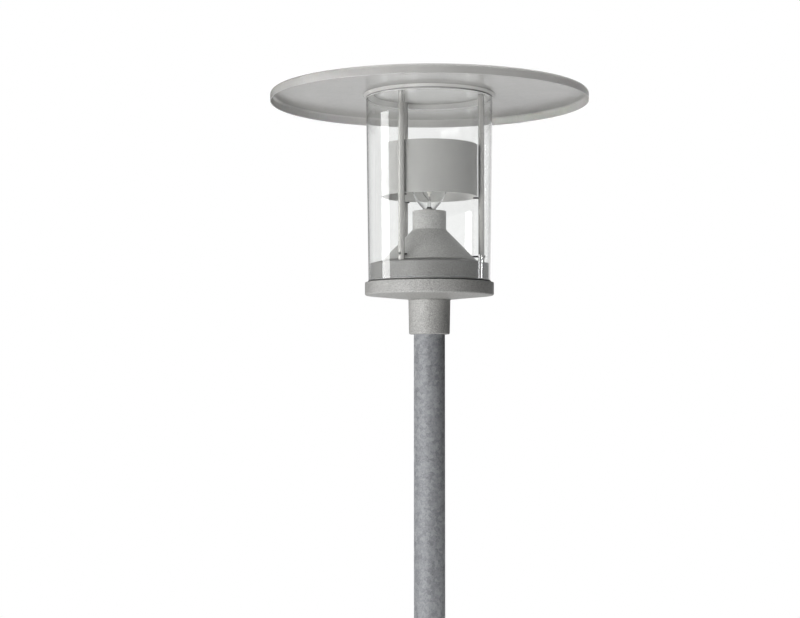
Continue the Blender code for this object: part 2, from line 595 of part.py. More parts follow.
def make_reflector(material, frame):
    """Thin open band with a folded bead at both edges."""
    low = REFLECTOR_FOOT_HEIGHT
    high = REFLECTOR_FOOT_HEIGHT + REFLECTOR_LENGTH
    inner = REFLECTOR_RADIUS - REFLECTOR_WALL
    bead = inner - REFLECTOR_BEAD
    profile = [(REFLECTOR_RADIUS, high), (REFLECTOR_RADIUS, low), (bead, low),
               (bead, low + REFLECTOR_BEAD_HEIGHT), (inner, low + REFLECTOR_BEAD_HEIGHT),
               (inner, high - REFLECTOR_BEAD_HEIGHT), (bead, high - REFLECTOR_BEAD_HEIGHT), (bead, high)]
    place("reflector", turned_mesh(profile), material, frame)


def make_lampholder(ceramic, metal, brass, head, contact):
    """Ceramic holder in the neck, the bridge that carries it, and the sprung centre contact."""
    stem_hole = CONTACT_STEM_DIAMETER / 2 + FIT
    profile = [(HOLDER_BORE_RADIUS, HOLDER_TOP_Z), (HOLDER_BORE_RADIUS, HOLDER_FLOOR_Z),
               (stem_hole, HOLDER_FLOOR_Z), (stem_hole, HOLDER_FOOT_Z), (HOLDER_RADIUS, HOLDER_FOOT_Z),
               (HOLDER_RADIUS, HOLDER_TOP_Z, HOLDER_EDGE_RADIUS)]
    place("lampholder", turned_mesh(profile, segments=MEDIUM_SEGMENTS), ceramic, head)
    low = GEAR_FOOT_Z
    top = HOLDER_FOOT_Z - GAP
    outer = BRACKET_SPAN / 2
    inner = outer - BRACKET_SHEET
    toe = outer + BRACKET_FOOT
    outline = [(-toe, low), (-inner, low), (-inner, top - BRACKET_SHEET), (inner, top - BRACKET_SHEET),
               (inner, low), (toe, low), (toe, low + BRACKET_SHEET), (outer, low + BRACKET_SHEET),
               (outer, top), (-outer, top), (-outer, low + BRACKET_SHEET), (-toe, low + BRACKET_SHEET)]
    place("lampholder_bracket", extruded_mesh(outline, BRACKET_WIDTH), metal, head)
    under = CONTACT_TOP_Z - CONTACT_THICKNESS
    button = [(0, CONTACT_TOP_Z), (CONTACT_DIAMETER / 2, CONTACT_TOP_Z), (CONTACT_DIAMETER / 2, under),
              (CONTACT_STEM_DIAMETER / 2, under), (CONTACT_STEM_DIAMETER / 2, under - CONTACT_STEM_LENGTH),
              (0, under - CONTACT_STEM_LENGTH)]
    place("centre_contact", turned_mesh(button, closed=False, segments=SMALL_SEGMENTS), brass, contact)


def bulb_wall(inset, steps=8):
    """Points down one face of the bulb: half an ellipse, then the straight neck."""
    across = BULB_RADIUS - inset
    along = BULB_HALF_LENGTH - inset
    neck = BULB_NECK_RADIUS - inset
    last = math.pi - math.asin(neck / across)
    arc = [(across * math.sin(last * step / steps), BULB_CENTRE_Z + along * math.cos(last * step / steps))
           for step in range(steps + 1)]
    return arc + [(neck, BULB_FOOT_Z)]


def make_wire(name, points, material, frame):
    """A round wire along a list of points, with filled ends."""
    curve = bpy.data.curves.new(name, "CURVE")
    curve.dimensions = "3D"
    curve.bevel_depth = LEAD_WIRE_DIAMETER / 2
    curve.bevel_resolution = 1
    curve.use_fill_caps = True
    spline = curve.splines.new("POLY")
    spline.points.add(len(points) - 1)
    for point, spot in zip(spline.points, points):
        point.co = (*spot, 1)
    thing = bpy.data.objects.new(name, curve)
    bpy.context.scene.collection.objects.link(thing)
    curve.materials.append(material)
    thing.parent = frame
    return thing


def bent_path(corners, bend):
    """Straight runs through (x, z) corners with an arc of the bend radius at each inner corner."""
    marked = [corners[0]] + [(x, z, bend) for x, z in corners[1:-1]] + [corners[-1]]
    return [(point[0], 0.0, point[1]) for point in rounded(marked, False, bend / 2)]


def make_lamp(brass, glass, ceramic, wire, frame):
    """Screw cap, open-necked bulb, stem, arc tube and the two leads that carry it."""
    shoulder = LAMP_TIP_Z + EYELET_HEIGHT
    shell_foot = shoulder + INSULATOR_HEIGHT
    cup = LAMP_CAP_TOP_Z - LAMP_CAP_CUP_DEPTH
    cup_radius = LAMP_CAP_RADIUS - LAMP_CAP_WALL
    cap = [(0, cup), (cup_radius, cup), (cup_radius, LAMP_CAP_TOP_Z),
           (LAMP_CAP_RADIUS, LAMP_CAP_TOP_Z), (LAMP_CAP_RADIUS, shell_foot),
           (EYELET_DIAMETER / 2, shoulder), (EYELET_DIAMETER / 2, LAMP_TIP_Z), (0, LAMP_TIP_Z)]
    place("lamp_cap", turned_mesh(cap, closed=False, segments=MEDIUM_SEGMENTS), brass, frame)
    wall = bulb_wall(0.0) + bulb_wall(BULB_WALL)[::-1]
    place("lamp_bulb", turned_mesh(wall, closed=False, segments=MEDIUM_SEGMENTS), glass, frame)
    stem_radius = STEM_DIAMETER / 2
    flare = BULB_NECK_RADIUS - BULB_WALL - GAP
    stem = [(0, STEM_TOP_Z), (stem_radius, STEM_TOP_Z),
            (stem_radius, BULB_FOOT_Z + flare), (flare, BULB_FOOT_Z), (0, BULB_FOOT_Z)]
    place("lamp_stem", turned_mesh(stem, closed=False, segments=SMALL_SEGMENTS), glass, frame)
    stub = ARC_TUBE_STUB_DIAMETER / 2
    tube_top = ARC_TUBE_FOOT_Z + ARC_TUBE_LENGTH
    stub_foot = ARC_TUBE_FOOT_Z - ARC_TUBE_STUB_LENGTH
    stub_top = tube_top + ARC_TUBE_STUB_LENGTH
    tube_radius = ARC_TUBE_DIAMETER / 2
    tube = [(0, stub_top), (stub, stub_top), (stub, tube_top), (tube_radius, tube_top),
            (tube_radius, ARC_TUBE_FOOT_Z), (stub, ARC_TUBE_FOOT_Z), (stub, stub_foot), (0, stub_foot)]
    place("arc_tube", turned_mesh(tube, closed=False, segments=SMALL_SEGMENTS), ceramic, frame)
    lead = LEAD_WIRE_DIAMETER / 2
    side = stem_radius - LEAD_WIRE_DIAMETER
    short = [(side, 0.0, STEM_TOP_Z + GAP), (stub - lead, 0.0, stub_foot - GAP)]
    make_wire("lead_wire_short", short, wire, frame)
    over = stub_top + GAP + lead
    long = bent_path([(-side, STEM_TOP_Z + GAP), (-side, STEM_TOP_Z + GAP + 2 * LEAD_WIRE_DIAMETER),
                      (-LEAD_WIRE_SPREAD, ARC_TUBE_FOOT_Z), (-LEAD_WIRE_SPREAD, over), (stub, over)],
                     2 * LEAD_WIRE_DIAMETER)
    make_wire("lead_wire_long", long, wire, frame)


def make_gear(metal, dark, grey, white, head):
    """Tray on the casting's floor with the control gear, terminal block and cable gland."""
    gland_flange = CABLE_ENTRY_RADIUS + GLAND_FLANGE_WIDTH
    hole = gland_flange + TRAY_HOLE_CLEARANCE
    edge = OPENING_RADIUS - TRAY_EDGE_CLEARANCE
    rim_top = TRAY_FOOT_Z + TRAY_RIM_HEIGHT
    tray = [(hole, TRAY_TOP_Z), (hole, TRAY_FOOT_Z), (edge, TRAY_FOOT_Z), (edge, rim_top),
            (edge - TRAY_THICKNESS, rim_top), (edge - TRAY_THICKNESS, TRAY_TOP_Z)]
    place("gear_tray", turned_mesh(tray, segments=MEDIUM_SEGMENTS), metal, head)
    thread = CABLE_ENTRY_RADIUS - FIT
    floor = -FLOOR_DEPTH + GAP
    bore = GLAND_BORE_DIAMETER / 2
    dome = floor + GLAND_FLANGE_HEIGHT + GLAND_DOME_HEIGHT
    gland = [(bore, dome), (bore, STOP_Z + GAP), (thread, STOP_Z + GAP), (thread, floor),
             (gland_flange, floor), (gland_flange, floor + GLAND_FLANGE_HEIGHT),
             (thread, floor + GLAND_FLANGE_HEIGHT), (thread, dome, GLAND_DOME_HEIGHT / 2)]
    place("cable_gland", turned_mesh(gland, segments=SMALL_SEGMENTS), dark, head)

    width, length, height = BALLAST_SIZE
    middle = GEAR_FOOT_Z + height / 2
    core = block_mesh(BALLAST_SIZE, (-BALLAST_OFFSET, 0, middle), BALLAST_EDGE_RADIUS / 2)
    ballast = place("ballast", core, dark, head)
    coil_size = (width - 2 * BALLAST_COIL_INSET, length + 2 * BALLAST_COIL_OVERHANG,
                 height - 2 * BALLAST_COIL_INSET)
    coil = block_mesh(coil_size, (-BALLAST_OFFSET, 0, middle), BALLAST_EDGE_RADIUS)
    combine(ballast, "guide_ballast_coil", [coil], "UNION", head)

    can = CAPACITOR_DIAMETER / 2
    top = GEAR_FOOT_Z + CAPACITOR_HEIGHT
    profile = [(0, top), (can / 3, top), (can, top - can / 3), (can, GEAR_FOOT_Z), (0, GEAR_FOOT_Z)]
    place("capacitor", turned_mesh(profile, closed=False, segments=SMALL_SEGMENTS), grey, head,
          (*CAPACITOR_PLACE, 0))
    case = block_mesh(IGNITOR_SIZE, (0, 0, GEAR_FOOT_Z + IGNITOR_SIZE[2] / 2), IGNITOR_EDGE_RADIUS)
    place("ignitor", case, dark, head, (*IGNITOR_PLACE, 0))

    block = block_mesh(TERMINAL_SIZE, (0, 0, GEAR_FOOT_Z + TERMINAL_SIZE[2] / 2))
    terminal = place("terminal_block", block, white, head, (TERMINAL_OFFSET, 0, 0))
    pitch = TERMINAL_SIZE[1] / TERMINAL_WAYS
    slots = []
    for way in range(TERMINAL_WAYS):
        y = (way - (TERMINAL_WAYS - 1) / 2) * pitch
        top = GEAR_FOOT_Z + TERMINAL_SIZE[2]
        slots.append(block_mesh((2 * TERMINAL_SIZE[0], TERMINAL_SLOT, 2 * TERMINAL_SLOT_DEPTH), (0, y, top)))
    combine(terminal, "guide_terminal_slots", slots, "DIFFERENCE", head).location = (TERMINAL_OFFSET, 0, 0)


def make_clear_cylinder(material, frame):
    """Tube whose radius grows evenly from foot to top, with both ends' edges broken."""
    cut = GLASS_EDGE_CHAMFER
    inner_top = GLASS_TOP_RADIUS - GLASS_WALL
    inner_foot = GLASS_FOOT_RADIUS - GLASS_WALL
    profile = [(inner_top + cut, GLASS_TOP_Z), (inner_top, GLASS_TOP_Z - cut),
               (inner_foot, GLASS_FOOT_Z + cut), (inner_foot + cut, GLASS_FOOT_Z),
               (GLASS_FOOT_RADIUS - cut, GLASS_FOOT_Z), (GLASS_FOOT_RADIUS, GLASS_FOOT_Z + cut),
               (GLASS_TOP_RADIUS, GLASS_TOP_Z - cut), (GLASS_TOP_RADIUS - cut, GLASS_TOP_Z)]
    place("clear_cylinder", turned_mesh(profile), material, frame)


def make_shade(material, frame):
    """Flat spun disc with a turned-down rim, holed for the studs, and the seat ring under it."""
    edge = SHADE_DIAMETER / 2
    rim_foot = SHADE_TOP_Z - SHADE_RIM_HEIGHT
    inner_edge = edge - SHADE_SHEET
    inner_bend = SHADE_EDGE_RADIUS - SHADE_SHEET
    profile = [(0, SHADE_TOP_Z), (edge, SHADE_TOP_Z, SHADE_EDGE_RADIUS), (edge, rim_foot),
               (inner_edge, rim_foot), (inner_edge, SHADE_UNDERSIDE_Z, inner_bend), (0, SHADE_UNDERSIDE_Z)]
    shade = place("shade", turned_mesh(profile, closed=False, segments=SHADE_SEGMENTS), material, frame)
    holes = []
    for angle in rod_angles():
        hole = turned_mesh(cylinder_corners(STUD_RADIUS + FIT, ROD_TOP_Z - ROD_DIAMETER, STUD_TOP_Z),
                           closed=False, segments=SMALL_SEGMENTS)
        holes.append(at(hole, *on_rod_circle(angle), angle))
    combine(shade, "guide_stud_holes", holes, "DIFFERENCE", frame)
    top = SHADE_UNDERSIDE_Z - GAP
    inner = SEAT_RING_FOOT_RADIUS - SEAT_RING_LAND
    ring = [(inner, top), (inner, SEAT_RING_FOOT_Z), (SEAT_RING_FOOT_RADIUS, SEAT_RING_FOOT_Z),
            (SEAT_RING_TOP_RADIUS, top)]
    place("seat_ring", turned_mesh(ring), material, frame)


def make_nuts(material, frame):
    """A washer and a domed cap nut on each stud above the shade."""
    washer = [(STUD_RADIUS + FIT, WASHER_FOOT_Z + WASHER_THICKNESS), (STUD_RADIUS + FIT, WASHER_FOOT_Z),
              (WASHER_DIAMETER / 2, WASHER_FOOT_Z), (WASHER_DIAMETER / 2, WASHER_FOOT_Z + WASHER_THICKNESS)]
    hex_radius = NUT_ACROSS_FLATS / 2 / math.cos(math.pi / 6)
    hex_top = NUT_FOOT_Z + NUT_HEX_HEIGHT
    dome_radius = NUT_ACROSS_FLATS / 2 - FIT
    dome_steps = 4
    turns = [math.pi / 2 * step / dome_steps for step in range(dome_steps + 1)]
    inside_hex = NUT_FOOT_Z + NUT_HEX_HEIGHT / 2
    dome = [(dome_radius * math.sin(turn), hex_top + NUT_DOME_HEIGHT * math.cos(turn)) for turn in turns]
    dome += [(dome_radius, inside_hex), (0, inside_hex)]
    for name, angle in zip(ROD_NAMES, rod_angles()):
        spot = (*on_rod_circle(angle), 0)
        ring = turned_mesh(washer, segments=SMALL_SEGMENTS)
        place(f"nut_washer_{name}", ring, material, frame, spot, angle)
        body = turned_mesh(cylinder_corners(hex_radius, NUT_FOOT_Z, hex_top), closed=False, segments=6)
        nut = place(f"cap_nut_{name}", body, material, frame, spot, angle)
        crown = turned_mesh(dome, closed=False, segments=SMALL_SEGMENTS)
        thread = turned_mesh(cylinder_corners(STUD_RADIUS + FIT, SHADE_TOP_Z, NUT_FOOT_Z + NUT_THREAD_DEPTH),
                             closed=False, segments=SMALL_SEGMENTS)
        for guide in (combine(nut, f"guide_crown_{name}", [crown], "UNION", frame),
                      combine(nut, f"guide_thread_{name}", [thread], "DIFFERENCE", frame)):
            guide.location = spot
            guide.rotation_euler = (0, 0, angle)


def frame_on_axis(name, parent=None, height=0.0):
    """An empty on the lantern's axis that one moving group hangs from."""
    empty = bpy.data.objects.new(name, None)
    bpy.context.scene.collection.objects.link(empty)
    empty.parent = parent
    empty.location = (0, 0, height)
    return empty


def main():
    clear_scene()
    painted = finish_material("grey_painted_aluminium", (0.42, 0.42, 0.40), 0.45)
    galvanised = finish_material("galvanised_steel", (0.36, 0.37, 0.38), 0.5, 0.6)
    bright = finish_material("stainless_steel", (0.60, 0.60, 0.60), 0.3, 1.0)
    dark = finish_material("dark_steel", (0.05, 0.05, 0.05), 0.5, 0.5)
    rubber = finish_material("black_rubber", (0.03, 0.03, 0.03), 0.7)
    clear = finish_material("clear_glass", (0.95, 0.96, 0.95), 0.02, 0.0, 0.2)
    brass = finish_material("brass", (0.60, 0.48, 0.22), 0.35, 1.0)
    ceramic = finish_material("white_ceramic", (0.85, 0.84, 0.80), 0.35)
    black_plastic = finish_material("black_plastic", (0.04, 0.04, 0.045), 0.5)
    grey_plastic = finish_material("grey_plastic", (0.55, 0.56, 0.56), 0.5)
    white_plastic = finish_material("white_plastic", (0.80, 0.80, 0.78), 0.5)

    head = frame_on_axis("head_frame", None, FLANGE_Z)
    reflector = frame_on_axis("reflector_frame", head)
    contact = frame_on_axis("contact_frame", head)
    lamp = frame_on_axis("lamp_frame", contact)
    glass = frame_on_axis("glass_frame", head)
    shade = frame_on_axis("shade_frame", glass)

    make_base_plate(galvanised)
    make_pole(galvanised)
    make_head_casting(painted, head)
    make_set_screws(bright, head)
    make_gaskets(rubber, head, glass)
    make_gear(bright, black_plastic, grey_plastic, white_plastic, head)
    make_cone_cover(painted, head)
    make_tie_rods(painted, dark, head)
    make_reflector(painted, reflector)
    make_lampholder(ceramic, bright, brass, head, contact)
    make_lamp(brass, clear, ceramic, bright, lamp)
    make_clear_cylinder(clear, glass)
    make_shade(painted, shade)
    make_nuts(bright, shade)


main()
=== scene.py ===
"""Looks of a park lantern on a galvanised post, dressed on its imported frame.

Lengths are metres in the frame's axes: +Z up, the post on Z, the photograph taken from -Y.
Heights of the lantern head are measured from the top of its flange, as on a maker's drawing.
Most pieces are turned shapes: an outline of (radius, height) corners, carried round an axis. A corner's
third number is the radius that it is rounded with.
"""

import math

import bmesh
import bpy
import numpy as np
from mathutils import Matrix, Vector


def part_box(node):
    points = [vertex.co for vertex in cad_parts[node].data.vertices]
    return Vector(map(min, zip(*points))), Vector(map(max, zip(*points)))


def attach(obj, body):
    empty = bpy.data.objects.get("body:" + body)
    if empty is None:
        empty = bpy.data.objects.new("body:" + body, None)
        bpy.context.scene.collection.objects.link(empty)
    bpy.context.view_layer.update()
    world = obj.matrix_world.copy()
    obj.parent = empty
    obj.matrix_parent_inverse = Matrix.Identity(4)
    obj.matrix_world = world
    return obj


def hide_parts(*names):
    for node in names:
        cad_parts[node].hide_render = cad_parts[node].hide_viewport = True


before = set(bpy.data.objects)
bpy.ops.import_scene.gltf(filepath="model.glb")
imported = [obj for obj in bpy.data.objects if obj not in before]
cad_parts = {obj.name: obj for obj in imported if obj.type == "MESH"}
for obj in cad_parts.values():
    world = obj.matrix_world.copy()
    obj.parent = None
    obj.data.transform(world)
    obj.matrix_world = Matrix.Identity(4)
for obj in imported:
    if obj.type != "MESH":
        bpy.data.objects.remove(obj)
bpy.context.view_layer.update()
scene = bpy.context.scene
scene.view_settings.view_transform = "Standard"

# Sizes that the pieces share with the solids
GAP = 0.0003
FLANGE_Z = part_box("lower_gasket")[0].z - GAP


def span(node):
    """Heights of a node's foot and top above the flange."""
    low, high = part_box(node)
    return low.z - FLANGE_Z, high.z - FLANGE_Z


def half_width(node):
    """Largest radius of a node that is round about the post's axis."""
    low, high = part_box(node)
    return (high.x - low.x) / 2


POLE_RADIUS = half_width("pole_tube")
POLE_WALL = 0.0036
PLATE_THICKNESS = 0.015
WELD_LEG = 0.007
COLLAR_BORE = POLE_RADIUS + GAP
COLLAR_FOOT_RADIUS = COLLAR_BORE + 0.009
COLLAR_TOP_RADIUS = COLLAR_FOOT_RADIUS + 0.0012
COLLAR_FOOT = span("head_casting")[0]
COLLAR_TOP = -0.033
SCREW_LEVEL = FLANGE_Z + COLLAR_FOOT + 0.025
SCREW_ANGLES = {"right": 50, "left": 130}
SCREW_RADIUS = 0.004
FLANGE_RADIUS = half_width("head_casting")
FLANGE_HEIGHT = 0.025
GLASS_FOOT, GLASS_TOP = span("clear_cylinder")
GLASS_TOP_RADIUS = half_width("clear_cylinder")
GLASS_FOOT_RADIUS = FLANGE_RADIUS - 0.0068
GLASS_WALL = 0.0025
RING_RADIUS = GLASS_FOOT_RADIUS - GLASS_WALL - 0.0006
RING_WALL = 0.0048
RING_HEIGHT = 0.036
SHOULDER = 0.0418
CABLE_ENTRY = 0.018
COVER_FOOT_RADIUS = half_width("cone_cover")
COVER_FOOT = SHOULDER + GAP
COVER_OPENING = COVER_FOOT_RADIUS - 0.007
COVER_NECK_RADIUS = 0.0327
COVER_NECK_FOOT = COVER_FOOT + 0.060
COVER_NECK_TOP = span("cone_cover")[1]
COVER_WALL = 0.003
SHADE_RIM_FOOT, SHADE_TOP = span("shade")
SHADE_SHEET = 0.002
SHADE_UNDERSIDE = SHADE_TOP - SHADE_SHEET
SHADE_RADIUS = half_width("shade")
SEAT_FOOT, SEAT_TOP = span("seat_ring")
SEAT_TOP_RADIUS = half_width("seat_ring")
SEAT_FOOT_RADIUS = GLASS_TOP_RADIUS - GLASS_WALL - 0.0018
ROD_ANGLES = {"right": -1.2, "back": 118.8, "front": 238.8}
ROD_CIRCLE = RING_RADIUS - 0.014
ROD_RADIUS = 0.006
STUD_RADIUS = 0.003
SPIGOT_FOOT, STUD_TOP = span("tie_rod_right")
ROD_FOOT = SPIGOT_FOOT + 0.013
ROD_TOP = SHADE_UNDERSIDE - GAP
REFLECTOR_FOOT, REFLECTOR_TOP = span("reflector")
REFLECTOR_RADIUS = half_width("reflector")
CAP_TIP, CAP_TOP = span("lamp_cap")
CAP_RADIUS = 0.0131
BULB_RADIUS = 0.035
BULB_HALF = 0.046
BULB_CENTRE = span("lamp_bulb")[1] - BULB_HALF
LEAD_RADIUS = 0.0007


# Shapes

ARC_CHORD = 0.0007
ARC_SHARE = 0.48
SIDE_MARGIN = 0.0007
CREASE = math.radians(34)


def rounded_outline(corners, closed=True, chord=ARC_CHORD):
    """Points along a (radius, height) outline, and how they bend.

    A corner with a third number R becomes the arc, middle + R (cos a, sin a), that touches both of
    its sides and takes no more than ARC_SHARE of either. Each straight side gets a point near both
    ends, so that shading stays flat between the arcs. The bend is 1 on an outer arc, -1 in an inner
    one and 0 on straight sides.
    """
    spots = np.array([corner[:2] for corner in corners], float)
    radii = [corner[2] if len(corner) > 2 else 0.0 for corner in corners]
    back = np.roll(spots, 1, 0) - spots
    ahead = np.roll(spots, -1, 0) - spots
    cross = back[:, 0] * ahead[:, 1] - back[:, 1] * ahead[:, 0]
    after = np.roll(spots, -1, 0)
    winding = np.sign(np.sum(spots[:, 0] * after[:, 1] - after[:, 0] * spots[:, 1]))
    runs = []
    bends = []
    for spot, one, two, radius, side in zip(spots, back, ahead, radii, cross):
        if radius == 0.0:
            runs.append(spot[None])
            bends.append(np.zeros(1))
            continue
        long_one = np.linalg.norm(one)
        long_two = np.linalg.norm(two)
        one = one / long_one
        two = two / long_two
        half = math.acos(np.clip(one @ two, -1, 1)) / 2
        reach = min(radius / math.tan(half), ARC_SHARE * long_one, ARC_SHARE * long_two)
        size = reach * math.tan(half)
        middle = spot + (one + two) / np.linalg.norm(one + two) * size / math.sin(half)
        sweep = math.pi - 2 * half
        count = max(4, math.ceil(size * sweep / chord))
        share = np.linspace(0, 1, count + 1)[:, None]
        first = spot + one * reach - middle
        last = spot + two * reach - middle
        arc = np.sin((1 - share) * sweep) * first + np.sin(share * sweep) * last
        runs.append(middle + arc / math.sin(sweep))
        bends.append(np.full(count + 1, -np.sign(side) * winding))
    points = []
    marks = []
    pairs = len(runs) if closed else len(runs) - 1
    for index, run in enumerate(runs):
        points.append(run)
        marks.append(bends[index])
        if index < pairs:
            start = run[-1]
            side_line = runs[(index + 1) % len(runs)][0] - start
            length = np.linalg.norm(side_line)
            share = min(SIDE_MARGIN / length, 1 / 3) if length > 1e-6 else 1 / 3
            points.append(start + np.array([[share], [1 - share]]) * side_line)
            marks.append(np.zeros(2))
    return np.concatenate(points), np.concatenate(marks)


def carried_round(outline, around=160):
    """Surface of revolution: X = r cos t, Y = r sin t, Z = h, with t round the axis."""
    turn = np.linspace(0, 2 * math.pi, around, endpoint=False)
    radius, height = outline[:, 0:1], outline[:, 1:2]
    return np.stack([radius * np.cos(turn), radius * np.sin(turn), height + 0 * turn], -1)


def hexagon(turn):
    """Share of its corner radius that a hexagon reaches: cos 30 / cos(angle from the nearest flat)."""
    return math.cos(math.pi / 6) / np.cos(np.mod(turn, math.pi / 3) - math.pi / 6)


def upright(x=0.0, y=0.0, lift=0.0):
    """Move that stands a shape with its axis along +Z at a place."""
    move = np.eye(4)
    move[:3, 3] = (x, y, lift)
    return move


def radial(degrees, lift):
    """Move that lays a shape's +Z along the horizontal line that leaves the post's axis at an angle."""
    angle = math.radians(degrees)
    move = np.eye(4)
    move[:3, 0] = (0, 0, -1)
    move[:3, 1] = (-math.sin(angle), math.cos(angle), 0)
    move[:3, 2] = (math.cos(angle), math.sin(angle), 0)
    move[2, 3] = lift
    return move


def rod_place(name):
    """X and Y of a tie rod: the rod circle's radius times (cos a, sin a)."""
    angle = math.radians(ROD_ANGLES[name])
    return ROD_CIRCLE * math.cos(angle), ROD_CIRCLE * math.sin(angle)


def grid_mesh(name, grid, move=None, closed=(True, True), bend=None):
    """Mesh over a grid of points, whose rows follow the outline and whose columns go round.

    The closed flags join the last row or column to the first. Doubles at poles and seams are merged,
    the normals point outwards, and each point keeps its bend for the finishes to read.
    """
    rows, columns = grid.shape[:2]
    points = grid.reshape(-1, 3)
    if move is not None:
        points = points @ move[:3, :3].T + move[:3, 3]
    index = np.arange(rows * columns).reshape(rows, columns)
    below = np.roll(index, -1, 0)
    quads = np.stack([index, np.roll(index, -1, 1), np.roll(below, -1, 1), below], -1)
    quads = quads[: rows if closed[0] else rows - 1, : columns if closed[1] else columns - 1]
    mesh = bpy.data.meshes.new(name)
    mesh.from_pydata(points.tolist(), [], quads.reshape(-1, 4).tolist())
    if bend is not None:
        mark = mesh.attributes.new("bend", "FLOAT", "POINT")
        mark.data.foreach_set("value", np.repeat(bend, columns).astype(np.float32))
    shape = bmesh.new()
    shape.from_mesh(mesh)
    bmesh.ops.remove_doubles(shape, verts=shape.verts, dist=1e-6)
    bmesh.ops.dissolve_degenerate(shape, dist=1e-7, edges=shape.edges)
    bmesh.ops.recalc_face_normals(shape, faces=shape.faces)
    shape.to_mesh(mesh)
    shape.free()
    mesh.shade_smooth()
    mesh.set_sharp_from_angle(angle=CREASE)
    return mesh


def add_object(name, data):
    made = bpy.data.objects.new(name, data)
    scene.collection.objects.link(made)
    return made


def add_piece(name, grid, material, body, nodes, move=None, closed=(True, True), bend=None):
    """A piece of the lantern that rides on a body and stands for the named solids."""
    made = add_object(name, grid_mesh(name, grid, move, closed, bend))
    made.data.materials.append(material)
    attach(made, body)
    if nodes:
        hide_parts(*nodes)
    return made


def refinish(node, material):
    """Give a solid that keeps its own mesh another finish."""
    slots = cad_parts[node].data.materials
    slots.clear()
    slots.append(material)


def add_turned(name, corners, material, body, nodes, closed=True, around=160, move=None):
    """A turned piece from its outline; an open outline starts and ends on the axis."""
    outline, bend = rounded_outline(corners, closed)
    place = upright(lift=FLANGE_Z) if move is None else move
    grid = carried_round(outline, around)
    return add_piece(name, grid, material, body, nodes, place, (closed, True), bend)


def cut_holes(piece, cutters):
    """Take shapes out of a piece with an exact Boolean, then remove the shapes."""
    for cutter in cutters:
        change = piece.modifiers.new("hole", "BOOLEAN")
        change.object = cutter
        change.solver = "EXACT"
    graph = bpy.context.evaluated_depsgraph_get()
    mesh = bpy.data.meshes.new_from_object(piece.evaluated_get(graph))
    piece.modifiers.clear()
    piece.data = mesh
    mesh.set_sharp_from_angle(angle=CREASE)
    for cutter in cutters:
        bpy.data.objects.remove(cutter, do_unlink=True)


def hole_cutter(name, radius, low, high, move):
    """A plain round bar that a hole is cut with."""
    grid = carried_round(np.array([(0, low), (radius, low), (radius, high), (0, high)]), 48)
    return add_object(name, grid_mesh(name, grid, move, (False, True)))


# Finishes


def add_node(tree, kind, **settings):
    made = tree.nodes.new(kind)
    for key, value in settings.items():
        setattr(made, key, value)
    return made


def feed(tree, socket, value):
    """Link a socket to an input, or set a plain number or colour on it."""
    if isinstance(value, bpy.types.NodeSocket):
        tree.links.new(value, socket)
    else:
        socket.default_value = value


def reckon(tree, operation, one, two=0.0, clamp=False):
    made = add_node(tree, "ShaderNodeMath", operation=operation, use_clamp=clamp)
    feed(tree, made.inputs[0], one)
    feed(tree, made.inputs[1], two)
    return made.outputs[0]


def blend_sum(tree, one, share_one, two, share_two):
    """Sum of two values, each times its own share."""
    first = reckon(tree, "MULTIPLY", one, share_one)
    return reckon(tree, "ADD", first, reckon(tree, "MULTIPLY", two, share_two))


def stretch(tree, value, low, high, new_low=0.0, new_high=1.0):
    """Map a value from one range to another, held at both ends."""
    made = add_node(tree, "ShaderNodeMapRange")
    for socket, number in zip(made.inputs, (value, low, high, new_low, new_high)):
        feed(tree, socket, number)
    return made.outputs[0]


def noise(tree, vector, scale, detail=3.0, rough=0.55):
    made = add_node(tree, "ShaderNodeTexNoise")
    feed(tree, made.inputs["Vector"], vector)
    feed(tree, made.inputs["Scale"], scale)
    feed(tree, made.inputs["Detail"], detail)
    feed(tree, made.inputs["Roughness"], rough)
    return made.outputs["Fac"]


def mix_colour(tree, share, one, two):
    made = add_node(tree, "ShaderNodeMix", data_type="RGBA")
    feed(tree, made.inputs["Factor"], share)
    feed(tree, made.inputs["A"], one)
    feed(tree, made.inputs["B"], two)
    return made.outputs["Result"]


def scaled(tree, vector, share):
    made = add_node(tree, "ShaderNodeVectorMath", operation="SCALE")
    feed(tree, made.inputs[0], vector)
    feed(tree, made.inputs["Scale"], share)
    return made.outputs[0]


def split(tree, vector):
    """The three parts of a vector, as sockets."""
    made = add_node(tree, "ShaderNodeSeparateXYZ")
    feed(tree, made.inputs[0], vector)
    return made.outputs


def new_group(name, inputs, outputs):
    """An empty shader group with named sockets, and its two end nodes."""
    tree = bpy.data.node_groups.new(name, "ShaderNodeTree")
    for title, kind in inputs:
        tree.interface.new_socket(title, in_out="INPUT", socket_type=kind)
    for title, kind in outputs:
        tree.interface.new_socket(title, in_out="OUTPUT", socket_type=kind)
    return tree, tree.nodes.new("NodeGroupInput").outputs, tree.nodes.new("NodeGroupOutput").inputs


def make_sand_grain():
    """Sand-cast skin: fine noise with scattered pits, as a height, and a mask of paler grains."""
    tree, given, out = new_group(
        "sand_grain",
        [("Vector", "NodeSocketVector"), ("Grains per metre", "NodeSocketFloat")],
        [("Height", "NodeSocketFloat"), ("Speck", "NodeSocketFloat")],
    )
    fine = noise(tree, given["Vector"], given["Grains per metre"], 4.0, 0.65)
    cells = add_node(tree, "ShaderNodeTexVoronoi", feature="SMOOTH_F1")
    feed(tree, cells.inputs["Vector"], given["Vector"])
    feed(tree, cells.inputs["Scale"], reckon(tree, "MULTIPLY", given["Grains per metre"], 0.8))
    pits = stretch(tree, cells.outputs["Distance"], 0.0, 0.5)
    feed(tree, out["Height"], blend_sum(tree, fine, 0.6, pits, 0.4))
    coarse = noise(tree, given["Vector"], reckon(tree, "MULTIPLY", given["Grains per metre"], 1.7), 2.0, 0.5)
    feed(tree, out["Speck"], stretch(tree, coarse, 0.35, 0.68))
    return tree


